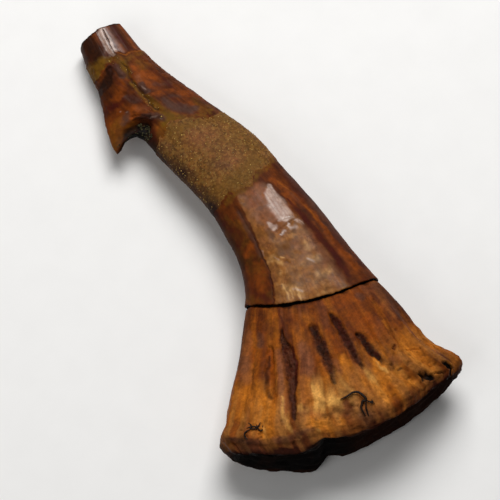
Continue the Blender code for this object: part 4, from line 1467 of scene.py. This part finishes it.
@dataclass
class Crown(Skin):
    """The enamel crown, from its ragged lower edge past the barb to the broken tip."""

    step: float = 0.22  # how far its edge stands proud of the root
    step_fade: float = 5.0
    jag: float = 0.09  # how jagged that edge is
    wave: float = 0.05  # height of the waves along its fibres
    pocket: tuple[float, float] = (40.1, -0.9)
    pocket_depth: float = 1.0
    pocket_radius: float = 1.0
    fillet: float = 0.34  # how far the corner behind the barb is filled
    tip_flare: float = 0.2  # how far the tip's left edge stands out
    tip_rough: float = 0.2  # how rough the broken tip is
    film: float = 0.1  # thickness of the film of matrix below the tip

    JAG_LOOP = (6.0, 4.0)  # half the width and height of the loop that jags are read on
    FURROW = SmoothTable([39.2, 40.5, 41.5, 42.2, 43.0, 44.2, 45.1, 46.1, 47.1, 48.0],
                         [-0.28, -0.26, -0.31, -0.19, -0.19, -0.13, -0.12, -0.06, 0.06, 0.03])
    TIP_LINE = SmoothTable([-1.0, -0.75, -0.45, -0.25, -0.1, 0.05, 0.15, 0.3, 0.6, 1.0],
                           [50.5, 50.0, 49.6, 49.2, 49.1, 49.6, 49.4, 49.0, 49.0, 48.8])
    WINDOW_LEFT = SmoothTable([13.0, 15.0, 18.0, 21.0, 24.0, 26.0, 27.5],
                              [-0.61, -0.59, -0.555, -0.535, -0.47, -0.42, -0.3])
    WINDOW_RIGHT = SmoothTable([13.0, 15.0, 18.0, 21.0, 24.0, 26.0, 27.5],
                               [0.56, 0.53, 0.5, 0.45, 0.44, 0.38, 0.25])

    def tip_line(self, places: Places) -> Values:
        """Where the film of matrix ends below the tip, a ragged line across it."""
        ragged = self.noise.rough(places.plain + 9.0, 0.7) * 0.2
        return self.TIP_LINE.at(places.across) + ragged

    def rows(self) -> Rows:
        """Rows from a point hidden in the neck to the middle of the broken tip."""
        edge, end = self.form.crown_edge, self.form.length
        knots = (
            (edge + 1.2, 1.2, 0.0, 0.0, 0.0, 0.0),
            (edge + 0.9, 0.95, 1.0, 1.0, 0.0, 0.0),
            (edge + 0.12, 0.45, 1.0, 1.0, 0.0, 0.0),
            (edge - 0.01, 0.16, 1.0, 1.0, 0.0, 0.0),
            (edge + 0.0, 0.06, 1.0, 1.0, 0.0, 0.0),
            (edge + 0.08, 0.0, 1.0, 1.0, 0.0, 0.0),
            (end, 0.0, 1.0, 1.0, 0.18, 0.6),
            (end, 0.0, 0.95, 0.95, 0.28, 0.9),
            (end, 0.0, 0.55, 0.55, 0.32, 0.8),
            (end, 0.0, 0.0, 0.0, 0.15, 0.6),
        )
        counts = (4, 4, 3, 2, 1, 322, 2, 7, 9)
        return row_path(knots, counts)

    def relief(self, places: Places) -> Values:
        """How far the crown's surface stands out from the plain form."""
        shift = self.shift(places) * 0.6
        along, across, upper, plain = places.along, places.across, places.upper, places.plain
        grain = places.grain()
        on_top = ease((upper + 0.1) / 0.35)
        above = along - self.form.crown_edge
        lip = self.step * (1.0 - ease(above / self.step_fade))
        waves = self.noise.rough(grain, (6.0, 1.6, 1.6), 2) * self.wave
        dents = self.other.rough(plain, 0.9) * 0.02
        marks = self.form.strokes(places, CROWN_BUMPS, shift) - self.form.strokes(places, CROWN_CUTS, shift)
        side = (across - self.pocket[1]) * places.half
        pocket = np.hypot(along - self.pocket[0], side) / self.pocket_radius
        pocket = self.pocket_depth * np.exp(-(pocket**4)) * ease((upper - 0.08) / 0.35)
        below_tip = ease((self.tip_line(places) - along) / 0.12)
        fade = ease((along - 37.0) / 6.0)
        film = (self.film + 0.05 * self.noise.rough(plain, 0.35)) * below_tip * fade
        ridges = self.noise.at(grain, (9.0, 0.32, 0.32)) * 0.012 * ease((along - 48.0) / 2.0)
        scratches = self.other.at(grain, (1.6, 0.22, 0.22)) * 0.05
        scratches = scratches * ease((16.2 - along) / 1.6) * ease((0.6 - np.abs(across)) / 0.2)
        fillet = self.fillet * np.exp(-(((along - 39.8) / 0.5) ** 2)) * ease((-0.8 - across) / 0.2)
        flare = self.tip_flare * ease((along - 48.5) / 3.5) * ease((-0.55 - across) / 0.4)
        return lip + waves + dents + marks * on_top - pocket + film + ridges + scratches + fillet + flare

    def layers(self, places: Places, rows: Rows) -> dict[str, Values]:
        """The attributes that tell the finish where each mineral lies."""
        shift = self.shift(places)
        along, across, upper, plain = places.along, places.across, places.upper, places.plain
        grain = places.grain()
        layers = {"grain": grain, **self.stained(places, CROWN_STAINS, shift)}
        patch = self.noise.rough(plain + 3.0, 1.1)
        spots = self.other.rough(plain + 8.0, 0.8)
        streaks = self.other.rough(grain + 4.0, (2.2, 1.2, 1.2), 3)
        lines = ease((self.noise.rough(grain + 2.0, (7.0, 0.3, 0.3), 2) + 0.45) / 0.8)
        flaws = ease((self.other.rough(plain + 6.0, 0.45, 3) + 0.55) / 0.7)
        layers["pearl"] *= 0.72 + 0.32 * lines
        layers["pearl"] *= 0.7 + 0.32 * flaws
        # The window is where the enamel is worn through, with frayed sides.
        side = across * places.half + shift[..., 1]
        left = side - self.WINDOW_LEFT.at(along) * places.half
        frayed = self.other.rough(grain + 31.0, (2.0, 0.9, 0.9), 3)
        right = self.WINDOW_RIGHT.at(along) * places.half - side + 0.3 * frayed
        window = ease(left / 0.16) * ease((right + 0.3) / 0.8) * ease((27.2 - along) / 1.5)
        window = window * ease((upper + 0.1) / 0.2)
        layers["tan"] = 0.8 * window
        paler = 0.42 * ease((patch - 0.1) / 0.8) + 0.16 * lines * (0.4 + 0.6 * ease((16.5 - along) / 2.0))
        layers["cream"] += window * paler * ease((21.5 - along) / 2.0)
        layers["rust"] *= 1.0 - window
        layers["rust"] += 0.3 * (1.0 - window) * ease((spots - 0.1) / 0.7)
        layers["olive"] *= 0.75 + 0.4 * flaws
        layers["maroon"] *= 0.6 + 0.35 * lines + 0.3 * flaws
        layers["amber"] += 0.1 * window * ease((streaks - 0.2) / 0.5)
        layers["grey"] += 0.35 * window * ease((-patch - 0.1) / 0.6)
        layers["umber"] += 0.3 * window * ease((spots - 0.25) / 0.35)
        layers["amber"] += 0.3 * layers["olive"] * (1.0 - window) * ease((-spots - 0.1) / 0.4)
        # A film of sand goes on a little beyond the crust.
        beyond = np.maximum(along - SandCrust.UPPER.at(across), SandCrust.LOWER.at(across) - along)
        layers["olive"] += 0.7 * flaws * ease((0.5 - beyond + 0.4 * spots) / 0.8)
        beside = ease(-left / 0.3) * ease((26.0 - along) / 2.0)
        layers["maroon"] += (0.45 - 0.2 * beside) * (1.0 - window) * ease((-streaks - 0.15) / 0.6)
        layers["olive"] += 0.3 * beside * ease((patch + 0.2) / 0.8)
        # The barb is clean on its face; behind it, in the undercut notch, it is black with dust and painted
        # shade.
        fin = self.form.fin(places)
        barb = ease(fin * 2.5) * ease((along - 40.9) / 0.3)
        limit = 41.2 - 4.0 * np.clip(across + 0.95, 0.0, 0.3) + 0.15 * spots
        limit = limit - 0.45 * ease((fin - 0.4) / 0.3)
        back = ease((limit - along) / 0.3) * ease((-0.72 + 0.06 * spots - across) / 0.06)
        back = back * ease((along - 38.6) / 0.8)
        layers["umber"] *= 1.0 - 0.9 * barb
        layers["black"] *= 1.0 - barb
        layers["black"] += 0.92 * back
        # The broken face of the tip is darker.
        layers["umber"] += rows.face * ease((along - 52.6) / 0.1) * 1.2
        # Painted shade: the crown's edge, where it tucks under its lip, is black.
        layers["black"] += ease((rows.tuck - 0.02) / 0.15)
        # The tip and the window shine; the broken face of the tip has none of the side's looks.
        tip = ease((along - self.tip_line(places)) / 0.2)
        bare = window * (0.05 + 0.12 * self.noise.rough(plain, 1.6))
        tip = tip * (0.05 + 0.45 * ease((across + 0.35) / 0.2) * ease((0.4 - across) / 0.25))
        layers["polish"] = np.clip(np.maximum(bare, tip) + 0.45 * layers["pearl"], 0.0, 1.0)
        side_only = 1.0 - ease((1.0 - rows.across) / 0.05) * (along > 45.0)
        for layer in ("pearl", "polish", "grey", "rust", "amber", "black"):
            layers[layer] *= side_only
        return layers

    def build(self, material: Material, root: Root) -> Object:
        """Builds the crown and dresses it.

        Args:
            material: Its finish.
            root: The root that its edge follows.

        Returns:
            The piece.
        """
        rows = self.rows()
        angles = self.angles()
        wide, high = self.JAG_LOOP
        turn = np.stack((np.cos(angles) * wide, np.sin(angles) * high, np.zeros(angles.shape)), axis=-1)
        jag = self.noise.rough(turn, 0.8, 4) * self.jag
        edge = root.edge(angles) + jag
        rise = rows.along - self.form.crown_edge
        room = (self.form.length - edge) / (self.form.length - self.form.crown_edge)
        along = edge + rise * room
        places = self.form.lay(along, angles)
        break_face = self.noise.rough(places.plain + 20.0 * rows.across[..., None], 1.1)
        push = rows.push + rows.face * break_face * self.tip_rough
        push = np.where(rows.across > 0.0, push, rows.push)
        relief = self.relief(places) - rows.tuck
        inset = (rows.across, rows.up)
        surface = self.form.points(places, relief, inset, push)
        data = laid_mesh(self.name, surface, self.layers(places, rows))
        piece = place_piece(data, material)
        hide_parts("tooth")
        return piece


@dataclass
class SandCrust(Skin):
    """A crust of cemented sand round the shaft, thin and broken at its edges."""

    crown: Crown | None = None
    start: float = 24.6  # where its rows begin and end, both below the crown's face
    end: float = 40.0
    thickness: float = 0.05
    sunk: float = 0.16  # how far it lies below that face where there is no sand
    ragged_edge: float = 0.55  # how far its edge wanders

    LOWER = SmoothTable([-1.0, -0.8, -0.43, -0.07, 0.19, 0.7, 1.0],
                        [25.9, 26.0, 26.5, 26.6, 27.5, 28.4, 29.0])
    UPPER = SmoothTable([-1.0, -0.6, -0.4, -0.2, 0.05, 0.5, 0.8, 1.0],
                        [37.3, 38.3, 38.5, 38.5, 38.0, 37.5, 37.3, 36.9])

    def cover(self, places: Places) -> Values:
        """How far each place is inside the crust, in millimetres, with a broken edge."""
        ragged = self.noise.rough(places.plain, 1.3, 4) * self.ragged_edge
        above = places.along - self.LOWER.at(places.across)
        below = self.UPPER.at(places.across) - places.along
        left = (places.across + 1.04) * places.half * 1.6 + 2.0 * ease((-places.upper) / 0.4)
        return np.minimum(np.minimum(above, below), left) + ragged

    def relief(self, places: Places) -> Values:
        """How far the crust's surface stands out from the plain form."""
        inside = ease((self.cover(places) + 0.7) / 1.4)
        pebbly = self.noise.rough(places.plain + 2.0, 0.3, 2) * 0.024
        patchy = self.other.at(places.plain, 1.8) * 0.03
        height = (self.thickness + pebbly + patchy) * inside - self.sunk * (1.0 - inside)
        return self.crown.relief(places) + height

    def layers(self, places: Places) -> dict[str, Values]:
        """The attributes that tell the finish where each mineral lies."""
        cover = self.cover(places)
        shift = self.shift(places)
        layers = self.stained(places, CRUST_STAINS, shift, CRUST_STAINS)
        layers["rust"] = ease((0.8 - cover) / 0.9) * 0.5
        return layers

    def build(self, material: Material) -> Object:
        """Builds the crust and dresses it.

        Args:
            material: Its finish.

        Returns:
            The piece.
        """
        knots = (
            (self.start, 1.5, 0.0, 0.0, 0.0, 0.0),
            (self.start, 0.6, 1.0, 1.0, 0.0, 0.0),
            (self.end, 0.6, 1.0, 1.0, 0.0, 0.0),
            (self.end, 1.5, 0.0, 0.0, 0.0, 0.0),
        )
        rows = row_path(knots, (3, 190, 3))
        inner = ease((rows.along - self.start) / 0.5) * ease((self.end - rows.along) / 0.5)
        places = self.form.lay(rows.along, self.angles())
        relief = self.relief(places) - rows.tuck * (1.0 - inner)
        inset = (rows.across, rows.up)
        surface = self.form.points(places, relief, inset)
        data = laid_mesh(self.name, surface, self.layers(places))
        return place_piece(data, material)


# ---- Small pieces
@dataclass
class Grains:
    """Grains strewn over a skin, each a small rough pebble."""

    name: str
    skin: Skin
    smallest: float
    largest: float
    seed: int
    sunk: float = 0.35  # share of a grain's size that is below the surface

    FEW_LARGE = 1.6  # above 1 there are more small grains than large ones
    FLATTENED = (0.7, 1.25)  # the least and the most along each of its axes
    KNOCKED = (0.8, 1.15)  # the least and the most that a corner is moved

    def build(self, along: Values, across: Values, material: Material) -> Object:
        """Builds all the grains as one mesh.

        Args:
            along: Each grain's place along the tooth.
            across: Each grain's place across it.
            material: Their finish.

        Returns:
            The piece.
        """
        chance = np.random.default_rng(self.seed)
        points, out = self.skin.at(along, across)
        sizes = chance.uniform(0.0, 1.0, len(along)) ** self.FEW_LARGE
        sizes = sizes * (self.largest - self.smallest) + self.smallest
        mesh = bmesh.new()
        tone = mesh.verts.layers.float.new("tone")
        for point, away, size in zip(points, out, sizes):
            turn = Vector(chance.normal(size=3)).to_track_quat("Z", "Y").to_matrix().to_4x4()
            flat = Matrix.Diagonal((*chance.uniform(*self.FLATTENED, 3), 1.0))
            centre = Vector((point + away * size * (0.5 - self.sunk)) * MM)
            place = Matrix.Translation(centre) @ turn @ flat
            made = bmesh.ops.create_icosphere(mesh, subdivisions=1, radius=size / 2.0 * MM, matrix=place)
            shade = chance.uniform(0.0, 1.0)
            for vert in made["verts"]:
                vert.co = centre + (vert.co - centre) * chance.uniform(*self.KNOCKED)
                vert[tone] = shade
        data = bpy.data.meshes.new(self.name)
        mesh.to_mesh(data)
        mesh.free()
        return place_piece(data, material)


@dataclass
class Rootlet:
    """A curled rootlet lying on the root, a tapered tube along a route."""

    name: str
    root: Root
    route: Route  # along, across and height above the surface
    thickness: float
    sides: int = 8
    finest: float = 0.35  # thickness of its ends, as a share

    RAISED = 0.4  # how far its middle is above the surface, as a share
    FULLNESS = 0.6  # below 1 it stays thick for longer

    def build(self, material: Material) -> Object:
        """Builds the rootlet.

        Args:
            material: Its finish.

        Returns:
            The piece.
        """
        route = np.array(self.route)
        points, out = self.root.at(route[:, 0], route[:, 1])
        points = points + out * (route[:, 2:] + self.thickness * self.RAISED)
        curve = bpy.data.curves.new(self.name, "CURVE")
        curve.dimensions = "3D"
        curve.bevel_depth = self.thickness / 2.0 * MM
        curve.bevel_resolution = self.sides // 4
        curve.use_fill_caps = True
        spline = curve.splines.new("BEZIER")
        spline.bezier_points.add(len(points) - 1)
        for index, (knot, point) in enumerate(zip(spline.bezier_points, points)):
            knot.co = point * MM
            knot.handle_left_type = knot.handle_right_type = "AUTO"
            share = index / (len(points) - 1)
            knot.radius = self.finest + (1.0 - self.finest) * math.sin(math.pi * share) ** self.FULLNESS
        maker = put(self.name, curve)
        data = bpy.data.meshes.new_from_object(maker.evaluated_get(bpy.context.evaluated_depsgraph_get()))
        bpy.data.objects.remove(maker)
        bpy.data.curves.remove(curve)
        mesh = bmesh.new()
        mesh.from_mesh(data)
        weld(mesh, data)
        data.name = self.name
        return place_piece(data, material)


# Routes on the root: along, across and height above its surface.
ROOTLET: Route = (
    (3.18, -0.02, 0.0), (3.2, 0.03, 0.08), (3.22, 0.07, 0.14), (3.22, 0.11, 0.18), (3.05, 0.15, 0.2),
    (2.8, 0.172, 0.2), (2.4, 0.187, 0.16), (2.05, 0.186, 0.12), (2.1, 0.155, 0.1), (1.95, 0.138, 0.12),
    (1.7, 0.122, 0.12), (1.4, 0.113, 0.1), (1.1, 0.11, 0.06), (0.8, 0.112, 0.0),
)
THREADS: tuple[Route, ...] = (
    ((2.1, 0.187, 0.1), (1.75, 0.168, 0.16), (1.4, 0.148, 0.14), (1.15, 0.145, 0.1), (0.9, 0.138, 0.06),
     (0.6, 0.135, 0.0)),
    ((2.1, 0.18, 0.1), (1.75, 0.2, 0.14), (1.5, 0.215, 0.1), (1.8, 0.225, 0.0)),
    ((1.75, 0.19, 0.1), (1.65, 0.215, 0.14), (1.35, 0.225, 0.02)),
    ((2.45, -0.805, 0.0), (2.1, -0.785, 0.1), (1.9, -0.79, 0.1), (2.0, -0.76, 0.12), (2.3, -0.735, 0.08),
     (2.6, -0.725, 0.0)),
    ((1.85, -0.815, 0.0), (1.9, -0.785, 0.12), (2.05, -0.75, 0.1), (1.9, -0.72, 0.1), (2.25, -0.71, 0.0)),
    ((1.75, -0.755, 0.0), (2.0, -0.745, 0.12), (2.3, -0.75, 0.0)),
    ((1.8, -0.785, 0.0), (1.5, -0.81, 0.1), (1.2, -0.822, 0.08), (0.9, -0.822, 0.06), (0.7, -0.805, 0.0)),
)
# Places of single grains below the tip: along and across.
TIP_GRAINS = np.array(((48.8, -0.56), (49.05, -0.3), (48.5, -0.23), (47.6, -0.11), (47.4, 0.66), (48.9, 0.0)))


# ---- The stage
@dataclass(frozen=True)
class Stage:
    """A pale floor, soft studio light and the camera."""

    floor_size: float = 900.0
    azimuth: float = -30.0  # degrees, from looking along +Y
    elevation: float = 70.0
    distance: float = 300.0
    target_height: float = 4.0
    frame_width: float = 55.0  # what the image takes in at the target
    target_right: float = 1.87  # how far the image's middle lies right of the target
    target_up: float = -2.585  # and above it
    sensor: float = 36.0
    key: float = 1.05  # the lamps' power in watts
    fill: float = 0.2
    lamp_size: float = 200.0
    sky: float = 0.1  # how strong the light from all round is

    def camera(self) -> None:
        """Adds the camera."""
        turn, tilt = math.radians(self.azimuth), math.radians(self.elevation)
        right = Vector((math.cos(turn), math.sin(turn), 0.0))
        ahead = Vector((-math.sin(turn) * math.cos(tilt), math.cos(turn) * math.cos(tilt), -math.sin(tilt)))
        up = right.cross(ahead)
        aim = Vector((0.0, 0.0, self.target_height)) + right * self.target_right + up * self.target_up
        data = bpy.data.cameras.new("camera")
        data.sensor_width = self.sensor
        data.lens = self.sensor * self.distance / self.frame_width
        data.clip_start = 0.01
        camera = put("camera", data)
        camera.location = (aim - ahead * self.distance) * MM
        camera.rotation_euler = ahead.to_track_quat("-Z", "Y").to_euler()
        bpy.context.scene.camera = camera

    def light(self, name: str, place: tuple[float, float, float], power: float) -> None:
        """Adds a soft square light that faces the tooth.

        Args:
            name: Its name.
            place: Where it stands.
            power: Its power in watts.
        """
        data = bpy.data.lights.new(name, "AREA")
        data.shape = "SQUARE"
        data.size = self.lamp_size * MM
        data.energy = power
        lamp = put(name, data)
        lamp.location = Vector(place) * MM
        lamp.rotation_euler = (-Vector(place)).to_track_quat("-Z", "Y").to_euler()

    def build(self, material: Material) -> None:
        """Adds the floor, the lights and the camera.

        Args:
            material: The floor's finish.
        """
        mesh = bmesh.new()
        bmesh.ops.create_grid(mesh, x_segments=8, y_segments=8, size=self.floor_size / 2.0 * MM)
        data = bpy.data.meshes.new("floor")
        mesh.to_mesh(data)
        mesh.free()
        data.materials.append(material)
        floor = put("floor", data)
        world = bpy.data.worlds.new("studio")
        world.use_nodes = True
        background = world.node_tree.nodes["Background"]
        background.inputs["Color"].default_value = linear("ffffff")
        background.inputs["Strength"].default_value = self.sky
        bpy.context.scene.world = world
        bpy.context.scene.view_settings.view_transform = "Standard"
        self.light("key", (100.0, 140.0, 260.0), self.key)
        self.light("fill", (-220.0, -60.0, 200.0), self.fill)
        self.camera()


SAND_TRIES = 1900  # places tried for grains on the crust
SAND_REACH = (25.0, 39.0)
SAND_MIDDLE = (33.0, 4.5)  # where grains lie thickest along the shaft, and how far they spread
SAND_INSIDE = (-0.1, 0.6)  # how far inside the crust's edge a grain has to be, at random
SAND_SPREAD = (0.2, 1.8)  # how many spreads from the middle it may be, at random
FURROW_GRAINS = 26
FURROW_REACH = (39.4, 48.2)
POCKET_GRAVEL = 90
POCKET_REACH = (38.4, 40.8)
POCKET_SIDE = (-0.995, 0.17)  # from the edge of the shaft inwards
GRAVEL_TONES = ("080604", "14100a", "241e0f", "383019", "4a442c")


def strewn(crust: SandCrust, count: int, seed: int) -> tuple[Values, Values]:
    """Picks places for grains where the crust covers the shaft.

    Args:
        crust: The crust.
        count: How many places to try.
        seed: What the choice starts from.

    Returns:
        The places along and across the tooth.
    """
    chance = np.random.default_rng(seed)
    along = chance.uniform(*SAND_REACH, count)
    across = np.sin(chance.uniform(-math.pi / 2.0, math.pi / 2.0, count)) * 0.995
    middle, spread = SAND_MIDDLE
    central = np.hypot((along - middle) / spread, across + 0.1)
    places = crust.form.lay(along, crust.form.angle_at(along, across))
    kept = crust.cover(places) > chance.uniform(*SAND_INSIDE, count)
    kept = kept & (central < chance.uniform(*SAND_SPREAD, count))
    return along[kept], across[kept]


def main() -> None:
    """Builds every piece of the tooth and the stage it lies on."""
    logging.basicConfig(level=logging.INFO, format="%(name)s: %(message)s")
    form = ToothForm()
    root = Root(form, "root", over=370, beneath=140, seed=11)
    root.build(FibrousDentine().material())
    crown = Crown(form, "crown", over=190, beneath=80, seed=23, ragged=0.12)
    crown.build(WornEnamel().material(), root)
    crust = SandCrust(form, "sand_crust", over=230, beneath=90, seed=31, crown=crown)
    crust.build(CementedSand().material())

    quartz = LooseGrains().material()
    along, across = strewn(crust, SAND_TRIES, 5)
    Grains("sand_grains", crust, 0.05, 0.17, 41, 0.6).build(along, across, quartz)

    chance = np.random.default_rng(8)
    along = chance.uniform(*FURROW_REACH, FURROW_GRAINS)
    across = Crown.FURROW.at(along) + chance.normal(0.0, 0.06, FURROW_GRAINS)
    along, across = (np.concatenate(pair) for pair in zip((along, across), TIP_GRAINS.T))
    Grains("furrow_grains", crown, 0.08, 0.22, 43, 0.5).build(along, across, quartz)

    gravel = LooseGrains("dark gravel", GRAVEL_TONES, 0.6, shine=0.1)
    along = chance.uniform(*POCKET_REACH, POCKET_GRAVEL)
    edge, inwards = POCKET_SIDE
    across = edge + inwards * chance.uniform(0.0, 1.0, POCKET_GRAVEL)
    Grains("pocket_gravel", crown, 0.12, 0.34, 47, 0.5).build(along, across, gravel.material())

    bark = DryRootlet().material()
    Rootlet("rootlet", root, ROOTLET, 0.28).build(bark)
    for number, route in enumerate(THREADS):
        Rootlet(f"thread_{number}", root, route, 0.18).build(bark)

    Stage().build(MattPaper().material())


if __name__ == "__main__":
    main()
